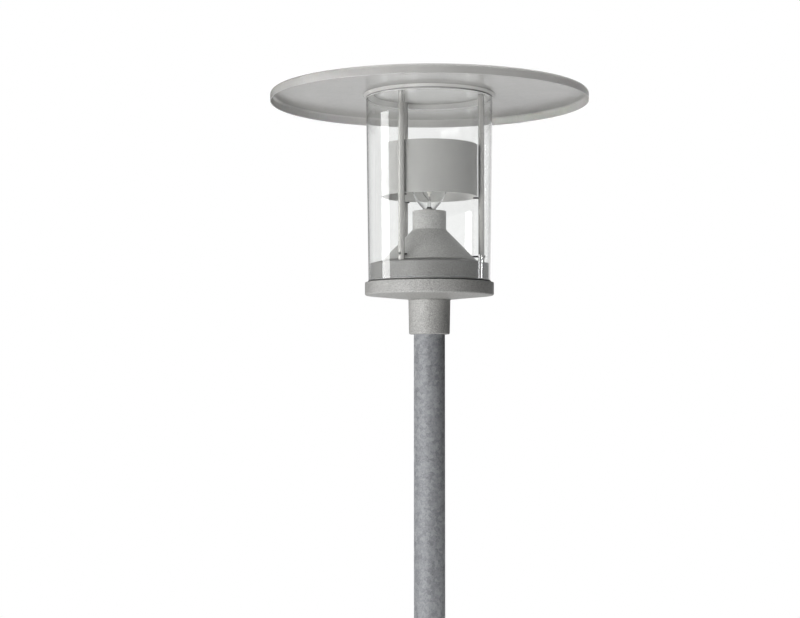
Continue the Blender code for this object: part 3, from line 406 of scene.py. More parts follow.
def make_paint_age():
    """Years outdoors on paint: cloudy fading and paler worn outer edges, with painted shade in inner corners,
    a dark brown where the outline bends inwards.
    """
    tree, given, out = new_group(
        "paint_age",
        [("Vector", "NodeSocketVector"), ("Paint", "NodeSocketColor"), ("Gloss", "NodeSocketFloat"),
         ("Wear", "NodeSocketFloat"), ("Dirt", "NodeSocketFloat")],
        [("Colour", "NodeSocketColor"), ("Roughness", "NodeSocketFloat")],
    )
    bend = add_node(tree, "ShaderNodeAttribute", attribute_name="bend").outputs["Fac"]
    clouds = noise(tree, given["Vector"], 14.0, 4.0, 0.6)
    broken = noise(tree, given["Vector"], 160.0, 3.0, 0.6)
    shade = stretch(tree, clouds, 0.3, 0.7, 0.965, 1.03)
    tone = scaled(tree, given["Paint"], shade)
    worn = reckon(tree, "MULTIPLY", stretch(tree, bend, 0.0, 1.0), stretch(tree, broken, 0.35, 0.65))
    worn = reckon(tree, "MULTIPLY", worn, given["Wear"], True)
    # Painted shade: inner corners (bend below 0) are mixed towards a dark brown, more so as the corner shade
    # input rises.
    corner_shade_mask = reckon(tree, "MULTIPLY", stretch(tree, bend, 0.0, -1.0), given["Dirt"])
    corner_shade_mask = reckon(tree, "MULTIPLY", corner_shade_mask, stretch(tree, broken, 0.25, 0.75, 0.4, 1.0), True)
    colour = mix_colour(tree, worn, tone, (0.62, 0.62, 0.61, 1))
    colour = mix_colour(tree, corner_shade_mask, colour, (0.10, 0.095, 0.085, 1))
    feed(tree, out["Colour"], colour)
    rough = reckon(tree, "ADD", given["Gloss"], stretch(tree, broken, 0.3, 0.7, -0.03, 0.04))
    feed(tree, out["Roughness"], reckon(tree, "ADD", rough, reckon(tree, "MULTIPLY", corner_shade_mask, 0.3)))
    return tree


def make_turning_marks():
    """Faint rings that spinning leaves on sheet: noise over (distance from the axis, height)."""
    tree, given, out = new_group(
        "turning_marks",
        [("Vector", "NodeSocketVector"), ("Rings per metre", "NodeSocketFloat")],
        [("Height", "NodeSocketFloat")],
    )
    across, deep, up = split(tree, given["Vector"])
    square = blend_sum(tree, across, across, deep, deep)
    flat = add_node(tree, "ShaderNodeCombineXYZ")
    feed(tree, flat.inputs[0], reckon(tree, "SQRT", square))
    feed(tree, flat.inputs[1], up)
    feed(tree, out["Height"], noise(tree, flat.outputs[0], given["Rings per metre"], 2.0, 0.5))
    return tree


def make_spangle():
    """Hot-dip zinc: crystals of several sizes, each with its own tone, under a fine bloom."""
    tree, given, out = new_group(
        "zinc_spangle",
        [("Vector", "NodeSocketVector"), ("Crystals per metre", "NodeSocketFloat")],
        [("Tone", "NodeSocketFloat"), ("Bloom", "NodeSocketFloat"), ("Height", "NodeSocketFloat")],
    )
    bent = add_node(tree, "ShaderNodeVectorMath", operation="ADD")
    feed(tree, bent.inputs[0], given["Vector"])
    warp = add_node(tree, "ShaderNodeTexNoise")
    feed(tree, warp.inputs["Vector"], given["Vector"])
    feed(tree, warp.inputs["Scale"], given["Crystals per metre"])
    feed(tree, bent.inputs[1], scaled(tree, warp.outputs["Color"], 0.004))
    tones = []
    for scale in (given["Crystals per metre"], reckon(tree, "MULTIPLY", given["Crystals per metre"], 2.7)):
        cells = add_node(tree, "ShaderNodeTexVoronoi")
        feed(tree, cells.inputs["Vector"], bent.outputs[0])
        feed(tree, cells.inputs["Scale"], scale)
        parts = add_node(tree, "ShaderNodeSeparateColor")
        feed(tree, parts.inputs[0], cells.outputs["Color"])
        tones.append(parts.outputs)
    large, small = tones
    tone = blend_sum(tree, large["Red"], 0.55, small["Green"], 0.45)
    feed(tree, out["Tone"], tone)
    finer = reckon(tree, "MULTIPLY", given["Crystals per metre"], 9.0)
    feed(tree, out["Bloom"], noise(tree, given["Vector"], finer, 4.0, 0.7))
    feed(tree, out["Height"], reckon(tree, "ADD", tone, noise(tree, given["Vector"], 90.0, 3.0, 0.6)))
    return tree


SAND_GRAIN = make_sand_grain()
PAINT_AGE = make_paint_age()
TURNING_MARKS = make_turning_marks()
SPANGLE = make_spangle()


def new_finish(name):
    """A material with its Principled shader and its Object coordinates."""
    material = bpy.data.materials.new(name)
    material.use_nodes = True
    tree = material.node_tree
    where = add_node(tree, "ShaderNodeTexCoord").outputs["Object"]
    return material, tree, tree.nodes["Principled BSDF"].inputs, where


def use_group(tree, group, **values):
    """Place a group; a name's underscores stand for the spaces of its socket."""
    made = add_node(tree, "ShaderNodeGroup", node_tree=group)
    for title, value in values.items():
        feed(tree, made.inputs[title.replace("_", " ")], value)
    return made.outputs


def raise_bump(tree, shader, height, depth):
    made = add_node(tree, "ShaderNodeBump")
    feed(tree, made.inputs["Height"], height)
    feed(tree, made.inputs["Distance"], depth)
    feed(tree, made.inputs["Strength"], 1.0)
    tree.links.new(made.outputs["Normal"], shader["Normal"])


def cast_paint(name, colour, gloss, depth, contrast, corner_shade, shade_under_glass=1.0):
    """Grey paint over a sand casting: pitted skin, paler specks, aged edges, with painted shade in inner
    corners and where glass covers it.
    """
    material, tree, shader, where = new_finish(name)
    grain = use_group(tree, SAND_GRAIN, Vector=where, Grains_per_metre=360.0)
    aged = use_group(tree, PAINT_AGE, Vector=where, Paint=colour, Gloss=gloss, Wear=0.12, Dirt=corner_shade)
    speck = stretch(tree, grain["Speck"], 0.0, 1.0, 1.0 - contrast, 1.0 + contrast)
    # Painted shade: above the flange, inside the clear cylinder, the paint is darkened for the dimmer light
    # that reaches it through the glass.
    if shade_under_glass != 1.0:
        height = split(tree, where)["Z"]
        painted_glass_shade = stretch(tree, height, FLANGE_Z, FLANGE_Z + 0.001, 1.0, shade_under_glass)
        speck = reckon(tree, "MULTIPLY", speck, painted_glass_shade)
    feed(tree, shader["Base Color"], scaled(tree, aged["Colour"], speck))
    feed(tree, shader["Roughness"], aged["Roughness"])
    raise_bump(tree, shader, grain["Height"], depth)
    return material


def sheet_paint(name, colour, gloss, depth=0.000004, metal=0.0, matt=0.0, painted_lining=None, sheen=0.0):
    """The same grey sprayed on spun sheet: smooth and satin, with faint rings under the paint.

    A painted lining is a (radius, colour) pair: what lies nearer the axis than that radius takes its colour,
    as painted light or painted shade on the inside of a piece.
    """
    material, tree, shader, where = new_finish(name)
    rings = use_group(tree, TURNING_MARKS, Vector=where, Rings_per_metre=700.0)
    aged = use_group(tree, PAINT_AGE, Vector=where, Paint=colour, Gloss=gloss, Wear=0.12, Dirt=0.0)
    feed(tree, shader["Base Color"], aged["Colour"])
    if painted_lining:
        level = add_node(tree, "ShaderNodeVectorMath", operation="MULTIPLY")
        feed(tree, level.inputs[0], where)
        level.inputs[1].default_value = (1, 1, 0)
        reach = add_node(tree, "ShaderNodeVectorMath", operation="LENGTH")
        feed(tree, reach.inputs[0], level.outputs[0])
        painted_inside = reckon(tree, "LESS_THAN", reach.outputs["Value"], painted_lining[0])
        feed(tree, shader["Base Color"], mix_colour(tree, painted_inside, aged["Colour"], painted_lining[1]))
    feed(tree, shader["Roughness"], aged["Roughness"])
    peel = noise(tree, where, 900.0, 2.0, 0.5)
    shader["Metallic"].default_value = metal
    shader["Diffuse Roughness"].default_value = matt
    shader["Sheen Weight"].default_value = sheen
    raise_bump(tree, shader, reckon(tree, "ADD", rings["Height"], peel), depth)
    return material


def zinc(name, dark, light, crystals):
    """Galvanised steel: bluish grey, each crystal of its own tone, with a dull bloom."""
    material, tree, shader, where = new_finish(name)
    cells = use_group(tree, SPANGLE, Vector=where, Crystals_per_metre=crystals)
    tone = blend_sum(tree, cells["Tone"], 0.6, cells["Bloom"], 0.5)
    feed(tree, shader["Base Color"], mix_colour(tree, stretch(tree, tone, 0.2, 0.85), dark, light))
    feed(tree, shader["Roughness"], stretch(tree, cells["Tone"], 0.0, 1.0, 0.58, 0.74))
    shader["Metallic"].default_value = 0.3
    shader["Diffuse Roughness"].default_value = 1.0
    raise_bump(tree, shader, cells["Height"], 0.00012)
    return material


def bare_metal(name, colour, gloss):
    """Plain metal with fine handling scratches that change its gloss."""
    material, tree, shader, where = new_finish(name)
    lines = add_node(tree, "ShaderNodeMapping")
    feed(tree, lines.inputs["Vector"], where)
    lines.inputs["Scale"].default_value = (1.0, 1.0, 0.12)
    marks = noise(tree, lines.outputs[0], 420.0, 4.0, 0.6)
    low = [0.82 * part for part in colour[:3]] + [1.0]
    feed(tree, shader["Base Color"], mix_colour(tree, stretch(tree, marks, 0.3, 0.7), low, colour))
    feed(tree, shader["Roughness"], stretch(tree, marks, 0.3, 0.7, gloss - 0.06, gloss + 0.1))
    shader["Metallic"].default_value = 1.0
    raise_bump(tree, shader, marks, 0.00001)
    return material


def moulded(name, colour, gloss):
    """Moulded plastic, rubber or glazed ceramic: slight mottling over a fine skin."""
    material, tree, shader, where = new_finish(name)
    skin = noise(tree, where, 500.0, 3.0, 0.6)
    cloud = noise(tree, where, 45.0, 3.0, 0.5)
    low = [0.85 * part for part in colour[:3]] + [1.0]
    feed(tree, shader["Base Color"], mix_colour(tree, stretch(tree, cloud, 0.3, 0.7), low, colour))
    feed(tree, shader["Roughness"], stretch(tree, skin, 0.3, 0.7, gloss - 0.04, gloss + 0.06))
    raise_bump(tree, shader, skin, 0.00003)
    return material


def clear(name, tint, bend_index, film, shadow, absorb, painted_edge_shade=1.0, thick=(0.0, 0.0)):
    """Clear glass with a film of dust, dull on ground edges; lamps' rays pass straight through it.

    Painted edge shade is the share of its tint that is left where the surface is seen edge on: painted shade
    that darkens the outline of thick glass. That fades out between the two heights of thick, above which the
    glass is blown thin.
    """
    material, tree, shader, where = new_finish(name)
    shader["Transmission Weight"].default_value = 1.0
    shader["IOR"].default_value = bend_index
    dust = noise(tree, where, 70.0, 5.0, 0.65)
    dusty = [film * part for part in tint[:3]] + [1.0]
    colour = mix_colour(tree, stretch(tree, dust, 0.35, 0.75), tint, dusty)
    if painted_edge_shade != 1.0:
        # Painted shade: where the glass is seen edge on, its tint is darkened towards the edge shade.
        facing = add_node(tree, "ShaderNodeLayerWeight").outputs["Facing"]
        edge_shade_tint = [painted_edge_shade * part for part in tint[:3]] + [1.0]
        height = split(tree, where)["Z"]
        heavy = stretch(tree, height, *(FLANGE_Z + level for level in thick), 1.0, 0.12)
        edge_shade_mask = reckon(tree, "MULTIPLY", stretch(tree, facing, 0.3, 0.75), heavy)
        colour = mix_colour(tree, edge_shade_mask, colour, edge_shade_tint)
    feed(tree, shader["Base Color"], colour)
    ground = add_node(tree, "ShaderNodeAttribute", attribute_name="bend").outputs["Fac"]
    ground = stretch(tree, ground, 0.0, 1.0)
    rough = stretch(tree, dust, 0.3, 0.75, 0.0, 0.015)
    feed(tree, shader["Roughness"], reckon(tree, "MAXIMUM", rough, reckon(tree, "MULTIPLY", ground, 0.5)))
    path = add_node(tree, "ShaderNodeLightPath")
    through = add_node(tree, "ShaderNodeBsdfTransparent")
    through.inputs["Color"].default_value = (shadow, shadow, shadow, 1.0)
    blend = add_node(tree, "ShaderNodeMixShader")
    tree.links.new(path.outputs["Is Shadow Ray"], blend.inputs[0])
    tree.links.new(tree.nodes["Principled BSDF"].outputs[0], blend.inputs[1])
    tree.links.new(through.outputs[0], blend.inputs[2])
    tree.links.new(blend.outputs[0], tree.nodes["Material Output"].inputs["Surface"])
    if absorb:
        body = add_node(tree, "ShaderNodeVolumeAbsorption")
        body.inputs["Color"].default_value = (0.0, 0.02, 0.01, 1.0)
        body.inputs["Density"].default_value = absorb
        tree.links.new(body.outputs[0], tree.nodes["Material Output"].inputs["Volume"])
    return material


PAINT = (0.40, 0.397, 0.385, 1.0)
BLOWN_THIN = (0.155, 0.163)
# The casting takes painted shade 0.6 in its inner corners and is darkened to 0.36 under the glass as painted
# shade.
casting_paint = cast_paint("casting_paint", PAINT, 0.46, 0.0007, 0.34, 0.6, 0.36)
# The cover, the tie rods and the reflector band stand inside the clear cylinder and take darker copies of the
# casting's grey: painted shade for the dimmer light through the glass.
glass_shaded_cover_paint = cast_paint("glass_shaded_cover_paint", (0.32, 0.318, 0.309, 1.0), 0.48, 0.0006, 0.30, 0.0)
shade_paint = sheet_paint("shade_paint", (0.365, 0.361, 0.35, 1.0), 0.20, 0.0000015)
# Painted shade: the centring ring's bore takes a darker grey, which damps the light falling on its far inner
# wall.
seat_paint = sheet_paint("seat_paint", (0.44, 0.436, 0.425, 1.0), 0.35,
                         painted_lining=(SEAT_FOOT_RADIUS - 0.0012, (0.40, 0.396, 0.386, 1.0)))
glass_shaded_rod_paint = sheet_paint("glass_shaded_rod_paint", (0.35, 0.346, 0.335, 1.0), 0.22, metal=0.65)
# Painted light: the inside of the reflector band takes a paler grey, which lifts the shade inside the band.
glass_shaded_reflector_paint = sheet_paint("glass_shaded_reflector_paint", (0.325, 0.323, 0.314, 1.0), 0.62, 0.000008, 0.1, 1.0,
                              (REFLECTOR_RADIUS - 0.0007, (0.52, 0.517, 0.505, 1.0)), 0.4)
pole_zinc = zinc("pole_zinc", (0.20, 0.205, 0.22, 1), (0.42, 0.43, 0.445, 1), 130.0)
stainless = bare_metal("stainless", (0.62, 0.61, 0.59, 1), 0.30)
dark_steel = bare_metal("dark_steel", (0.035, 0.034, 0.033, 1), 0.42)
brass = bare_metal("brass", (0.62, 0.47, 0.20, 1), 0.32)
lead_wire = bare_metal("lead_wire", (0.16, 0.155, 0.15, 1), 0.35)
nickel = bare_metal("nickel", (0.36, 0.355, 0.34, 1), 0.34)
seal_rubber = moulded("seal_rubber", (0.13, 0.13, 0.127, 1), 0.62)
silicone = moulded("silicone", (0.24, 0.24, 0.235, 1), 0.6)
ceramic = moulded("ceramic", (0.78, 0.76, 0.71, 1), 0.30)
arc_ceramic = moulded("arc_ceramic", (0.82, 0.80, 0.75, 1), 0.42)
black_plastic = moulded("black_plastic", (0.03, 0.03, 0.032, 1), 0.45)
grey_plastic = moulded("grey_plastic", (0.50, 0.51, 0.51, 1), 0.42)
white_plastic = moulded("white_plastic", (0.76, 0.75, 0.72, 1), 0.40)
cylinder_clear = clear("cylinder_clear", (0.985, 0.99, 0.985, 1.0), 1.49, 0.975, 0.93, 2.5)
# The bulb and its stem get painted edge shade, 0.16 and 0.2, which darkens their outlines.
lamp_clear = clear("lamp_clear", (0.97, 0.975, 0.97, 1.0), 1.36, 0.96, 0.9, 0.0, 0.16, BLOWN_THIN)
stem_clear = clear("stem_clear", (0.80, 0.805, 0.80, 1.0), 1.36, 0.96, 0.9, 0.0, 0.2, BLOWN_THIN)


# Post


def make_post():
    """Tube and its weld: a bulging quarter round from tube to plate, whose size swells as sin(46 t)."""
    foot, top = (corner.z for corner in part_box("pole_tube"))
    inner, edge = POLE_RADIUS - POLE_WALL, 0.0008
    tube = [(POLE_RADIUS, top, edge), (POLE_RADIUS, foot), (inner, foot), (inner, top, edge)]
    add_turned("galvanised_tube", tube, pole_zinc, "post", ["pole_tube"], move=np.eye(4))
    ripples, around, bulge, sunk = 46, 460, 1.3, 0.0002
    turn = np.linspace(0, 2 * math.pi, around, endpoint=False)
    along = np.linspace(0, math.pi / 2, 9)[:, None]
    swell = WELD_LEG * (1.02 + 0.05 * np.sin(ripples * turn))
    root_radius, root_height = POLE_RADIUS + sunk, PLATE_THICKNESS - sunk
    radius = np.concatenate([root_radius + swell * np.sin(along) ** bulge, np.full((1, around), root_radius)])
    height = np.concatenate([root_height + swell * np.cos(along) ** bulge, np.full((1, around), root_height)])
    grid = np.stack([radius * np.cos(turn), radius * np.sin(turn), height], -1)
    add_piece("weld_bead", grid, pole_zinc, "post", [])
    refinish("base_plate", pole_zinc)


# Head


def make_casting():
    """One outline: cable entry, floor, ring, ledge for the cover, flange, collar and the post's bore."""
    inner = RING_RADIUS - RING_WALL
    floor, post_stop, ledge = -0.018, -0.030, 0.005
    corners = [
        (CABLE_ENTRY, floor), (inner, floor, RING_WALL), (inner, SHOULDER - 2 * ledge),
        (COVER_OPENING, SHOULDER - ledge), (COVER_OPENING, SHOULDER), (COVER_FOOT_RADIUS, SHOULDER),
        (RING_RADIUS, RING_HEIGHT, 0.0015), (RING_RADIUS, 0.0, 0.0008), (FLANGE_RADIUS, 0.0, 0.0012),
        (FLANGE_RADIUS, -FLANGE_HEIGHT, 0.0035), (COLLAR_TOP_RADIUS, COLLAR_TOP, 0.0022),
        (COLLAR_FOOT_RADIUS, COLLAR_FOOT, 0.003), (COLLAR_BORE, COLLAR_FOOT, 0.0006),
        (COLLAR_BORE, post_stop), (CABLE_ENTRY, post_stop),
    ]
    casting = add_turned("cast_base", corners, casting_paint, "head", ["head_casting"],
                         around=224)
    hole = SCREW_RADIUS + GAP
    cut_holes(casting, [hole_cutter(f"screw_hole_{side}", hole, 0.02, 0.06, radial(degrees, SCREW_LEVEL))
                        for side, degrees in SCREW_ANGLES.items()])


def make_grub_screws():
    """Screws with a hexagon socket: circles and hexagons at rising distance from the axis, joined."""
    outer, inner = 0.03959, 0.03045
    socket_floor, chamfer = outer - 0.0045, 0.0004
    turn = np.linspace(0, 2 * math.pi, 72, endpoint=False)
    key = 0.0023 * hexagon(turn)
    rounds = np.ones(len(turn))
    rings = [(0 * rounds, socket_floor), (key, socket_floor), (key, outer - 0.0001),
             (0.0026 * rounds, outer), (0.0037 * rounds, outer), (SCREW_RADIUS * rounds, outer - chamfer),
             (SCREW_RADIUS * rounds, inner + 0.00035), ((SCREW_RADIUS - chamfer) * rounds, inner),
             (0 * rounds, inner)]
    grid = np.stack([np.stack([ring * np.cos(turn), ring * np.sin(turn), 0 * turn + reach], -1)
                     for ring, reach in rings])
    for side, degrees in SCREW_ANGLES.items():
        add_piece(f"grub_screw_{side}", grid, stainless, "head", [f"set_screw_{side}"],
                  radial(degrees, SCREW_LEVEL), (False, True))


def make_seals():
    """Flat ring under the clear cylinder, and an angled one round its top edge."""
    inner, outer = RING_RADIUS + GAP, half_width("lower_gasket")
    foot, top = span("lower_gasket")
    lower = [(inner, top, 0.0005), (inner, foot), (outer, foot, 0.0006), (outer, top, 0.0009)]
    add_turned("foot_seal", lower, seal_rubber, "head", ["lower_gasket"], around=200)
    inner, outer = GLASS_TOP_RADIUS - GLASS_WALL + GAP, half_width("upper_gasket")
    foot, top = span("upper_gasket")
    upper = [(inner, foot + 0.0012, 0.0003), (inner, foot), (outer, foot), (outer, top, 0.0004)]
    add_turned("top_seal", upper, silicone, "glass", ["upper_gasket"], around=200)


def make_cover():
    """Cone of even wall between its foot and its open neck, with a register that drops into the ring."""
    slope = (COVER_FOOT_RADIUS - COVER_NECK_RADIUS) / (COVER_NECK_FOOT - COVER_FOOT)
    side = COVER_WALL * math.hypot(1, slope)
    register, register_foot = COVER_OPENING - GAP, COVER_FOOT - 0.005
    inner = register - COVER_WALL
    neck = COVER_NECK_RADIUS - COVER_WALL
    lip, bend = 0.0012, 0.004
    corners = [
        (neck, COVER_NECK_TOP, lip),
        (neck, COVER_FOOT + (COVER_FOOT_RADIUS - side - neck) / slope, bend),
        (inner, COVER_FOOT + (COVER_FOOT_RADIUS - side - inner) / slope, 0.002),
        (inner, register_foot), (register, register_foot), (register, COVER_FOOT),
        (COVER_FOOT_RADIUS - 0.0003, COVER_FOOT, 0.0003), (COVER_FOOT_RADIUS, COVER_FOOT + 0.0006, 0.0006),
        (COVER_NECK_RADIUS, COVER_NECK_FOOT, bend), (COVER_NECK_RADIUS, COVER_NECK_TOP, lip),
    ]
    add_turned("gear_cover", corners, glass_shaded_cover_paint, "head", ["cone_cover"], around=176)


def make_rods():
    """Rods with a stud at each end, and two pins through each: one under the band, one into the cover."""
    rod = [(0, STUD_TOP), (STUD_RADIUS, STUD_TOP, 0.0005), (STUD_RADIUS, ROD_TOP),
           (ROD_RADIUS, ROD_TOP, 0.0004), (ROD_RADIUS, ROD_FOOT, 0.0004), (STUD_RADIUS, ROD_FOOT),
           (STUD_RADIUS, SPIGOT_FOOT), (0, SPIGOT_FOOT)]
    pin, pin_head = 0.0017, 0.0025
    rest_level, rest_tip, rest_end = FLANGE_Z + 0.1640, 0.085, 0.100
    bolt_level, bolt_tip, bolt_neck, bolt_end = FLANGE_Z + 0.050, 0.0822, 0.1073, 0.1085
    rest = [(0, rest_end), (pin, rest_end, 0.0003), (pin, rest_tip, 0.0004), (0, rest_tip)]
    bolt = [(0, bolt_end), (pin_head, bolt_end, 0.0008), (pin_head, bolt_neck), (pin, bolt_neck),
            (pin, bolt_tip, 0.0003), (0, bolt_tip)]
    for name, degrees in ROD_ANGLES.items():
        place = upright(*rod_place(name), FLANGE_Z)
        add_turned(f"rod_{name}", rod, glass_shaded_rod_paint, "head", [f"tie_rod_{name}"], False, 64, place)
        add_turned(f"band_rest_{name}", rest, dark_steel, "head", [f"reflector_pin_{name}"],
                   False, 32, radial(degrees, rest_level))
        add_turned(f"cover_bolt_{name}", bolt, dark_steel, "head", [f"cover_pin_{name}"],
                   False, 32, radial(degrees, bolt_level))


def make_reflector():
    """Thin band, stiffened by a bead round the inside of each edge."""
    inner = REFLECTOR_RADIUS - 0.0015
    bead = inner - 0.0008
    low, high = REFLECTOR_FOOT + 0.003, REFLECTOR_TOP - 0.003
    edge, step = 0.0008, 0.0006
    corners = [(REFLECTOR_RADIUS, REFLECTOR_TOP, edge), (REFLECTOR_RADIUS, REFLECTOR_FOOT, edge),
               (bead, REFLECTOR_FOOT, edge), (bead, low, step), (inner, low + step), (inner, high - step),
               (bead, high, step), (bead, REFLECTOR_TOP, edge)]
    add_turned("reflector_band", corners, glass_shaded_reflector_paint, "reflector", ["reflector"],
               around=176)


def make_lampholder():
    """Grooved ceramic cup, and the button of the sprung contact in its floor."""
    foot, top = span("lampholder")
    bore, outer, groove = 0.0139, 0.023, 0.0222
    contact_hole, floor = 0.0019, 0.1091
    edge = 0.001
    holder = [(bore, top, edge), (bore, floor, edge), (contact_hole, floor), (contact_hole, foot),
              (outer, foot, 0.0015), (outer, foot + 0.014, edge), (groove, foot + 0.015, edge),
              (groove, foot + 0.017, edge), (outer, foot + 0.018, edge), (outer, top, 0.002)]
    add_turned("socket_body", holder, ceramic, "head", ["lampholder"], around=96)
    foot, top = span("centre_contact")
    disc, disc_foot, stem = 0.004, top - 0.0015, 0.0016
    button = [(0, top), (disc, top, 0.0005), (disc, disc_foot), (stem, disc_foot), (stem, foot, 0.0003),
              (0, foot)]
    add_turned("sprung_contact", button, brass, "contact", ["centre_contact"], False, 48)


def make_screw_cap():
    """Cap whose shell has the radius R + a cos(2 pi h / pitch - t), where a fades out at both ends."""
    pitch, middle, depth, run_out = 0.00363, 0.01265, 0.00045, 0.0012
    turn = np.linspace(0, 2 * math.pi, 120, endpoint=False)
    height = np.linspace(CAP_TIP + 0.0085, CAP_TOP - 0.0055, 90)[:, None]
    fade = np.clip(np.minimum(height - height[0], height[-1] - height) / run_out, 0, 1)
    shell = middle + depth * fade * np.cos(2 * math.pi * height / pitch - turn)
    grid = np.stack([shell * np.cos(turn), shell * np.sin(turn), height + 0 * turn], -1)
    tip = [(0, CAP_TIP), (0.0045, CAP_TIP, 0.0012), (0.0045, CAP_TIP + 0.0015),
           (0.0106, CAP_TIP + 0.0066, 0.0015), (0.0126, CAP_TIP + 0.0078, 0.0008)]
    cup_radius, cup_floor = 0.0125, CAP_TOP - 0.010
    rim = [(0.0127, CAP_TOP - 0.005), (CAP_RADIUS, CAP_TOP - 0.0045, 0.0004), (CAP_RADIUS, CAP_TOP, 0.0003),
           (cup_radius, CAP_TOP, 0.0003), (cup_radius, cup_floor), (0, cup_floor)]
    ends = [carried_round(rounded_outline(corners, False)[0], 120) for corners in (tip, rim)]
    grid = np.concatenate([ends[0], grid, ends[1]])
    add_piece("screw_cap", grid, nickel, "lamp", ["lamp_cap"], upright(lift=FLANGE_Z), (False, True))


def make_bulb():
    """Two walls: an ellipse, A sin a and C + B cos a, down to the belly, a pear below, then straight.

    The pear's radius is neck + (A - neck)(1 - d^2.2), where d runs from 0 at the belly to 1 at the neck.
    """
    neck, wall, fullness = 0.0122, 0.0009, 2.2
    neck_top, neck_foot = CAP_TOP + 0.0005, CAP_TOP - 0.006
    walls = []
    for inset in (0.0, wall):
        angle = np.linspace(0, math.pi / 2, 40)
        wide, thin = BULB_RADIUS - inset, neck - inset
        dome = np.stack([wide * np.sin(angle), BULB_CENTRE + (BULB_HALF - inset) * np.cos(angle)], -1)
        down = np.linspace(0, 1, 49)[1:]
        pear = np.stack([thin + (wide - thin) * (1 - down**fullness),
                         BULB_CENTRE + (neck_top - BULB_CENTRE) * down], -1)
        walls.append(np.concatenate([dome, pear, [(thin, neck_foot)]]))
    grid = carried_round(np.concatenate([walls[0], walls[1][::-1]]), 128)
    add_piece("bulb_glass", grid, lamp_clear, "lamp", ["lamp_bulb"], upright(lift=FLANGE_Z),
              (False, True))


def make_burner():
    """What the bulb holds: a flared stem, the discharge tube with its two ends, and the leads to them."""
    foot, top = span("lamp_stem")
    start, stem_radius = top + GAP, 0.0033
    stem = [(0, top), (stem_radius, top, 0.0012), (stem_radius, foot + 0.011, 0.006), (0.0109, foot, 0.0006),
            (0, foot)]
    add_turned("bulb_stem", stem, stem_clear, "lamp", ["lamp_stem"], False, 48)
    foot, top = span("arc_tube")
    tube_radius, end_radius = 0.0045, 0.0017
    low, high = foot + 0.006, top - 0.006
    tube = [(0, top), (end_radius, top, 0.0004), (end_radius, high, 0.0008), (tube_radius, high, 0.0022),
            (tube_radius, low, 0.0022), (end_radius, low, 0.0008), (end_radius, foot, 0.0004), (0, foot)]
    add_turned("discharge_tube", tube, arc_ceramic, "lamp", ["arc_tube"], False, 48)
    over, beside, at_stem = top + GAP + LEAD_RADIUS, 0.012, 0.0019
    make_lead("long_lead", "lead_wire_long", [(-at_stem, start), (-at_stem, start + 0.0028),
                                              (-beside, low), (-beside, over), (end_radius, over)])
    make_lead("short_lead", "lead_wire_short", [(at_stem, start), (0.0010, foot - GAP)])


def make_lead(name, node, corners):
    """Wire in the plane Y = 0: a circle carried along a bent line, point + R (normal cos t + Y sin t)."""
    bend = 0.0024
    bent = [corners[0], *[(x, z, bend) for x, z in corners[1:-1]], corners[-1]]
    line, _ = rounded_outline(bent, False, 0.0006)
    along = np.gradient(line, axis=0)
    along /= np.linalg.norm(along, axis=1, keepdims=True)
    turn = np.linspace(0, 2 * math.pi, 16, endpoint=False)
    radius = np.concatenate([[0], np.full(len(line), LEAD_RADIUS), [0]])
    line = np.concatenate([line[:1], line, line[-1:]])
    along = np.concatenate([along[:1], along, along[-1:]])
    normal = np.stack([along[:, 1], -along[:, 0]], -1)
    out = radius[:, None] * np.cos(turn)
    beside = radius[:, None] * np.sin(turn)
    grid = np.stack([line[:, 0:1] + normal[:, 0:1] * out, beside, line[:, 1:2] + normal[:, 1:2] * out], -1)
    add_piece(name, grid, lead_wire, "lamp", [node], upright(lift=FLANGE_Z), (False, True))


def make_cylinder():
    """Clear tube of even wall, wider at its top, with both ends ground."""
    cut = 0.0006
    inner_top = GLASS_TOP_RADIUS - GLASS_WALL
    inner_foot = GLASS_FOOT_RADIUS - GLASS_WALL
    corners = [(inner_top, GLASS_TOP, cut), (inner_foot, GLASS_FOOT, cut),
               (GLASS_FOOT_RADIUS, GLASS_FOOT, cut), (GLASS_TOP_RADIUS, GLASS_TOP, cut)]
    add_turned("clear_tube", corners, cylinder_clear, "glass", ["clear_cylinder"], around=256)


# Shade


def make_shade():
    """Flat spun disc with its rim turned down, and the conical ring that centres the clear cylinder."""
    inner, edge = SHADE_RADIUS - SHADE_SHEET, 0.0007
    corners = [(0, SHADE_TOP), (SHADE_RADIUS, SHADE_TOP, 0.0065), (SHADE_RADIUS, SHADE_RIM_FOOT, edge),
               (inner, SHADE_RIM_FOOT, edge), (inner, SHADE_UNDERSIDE, 0.0045), (0, SHADE_UNDERSIDE)]
    add_turned("spun_shade", corners, shade_paint, "shade", ["shade"], False, 288)
    bore_top, bore_foot = SEAT_FOOT_RADIUS - 0.0105, SEAT_FOOT_RADIUS - 0.0015
    ring = [(bore_top, SEAT_TOP), (bore_foot, SEAT_FOOT, 0.0005), (SEAT_FOOT_RADIUS, SEAT_FOOT, 0.0005),
            (SEAT_TOP_RADIUS, SEAT_TOP, 0.0003)]
    add_turned("centring_ring", ring, seat_paint, "shade", ["seat_ring"], around=224)


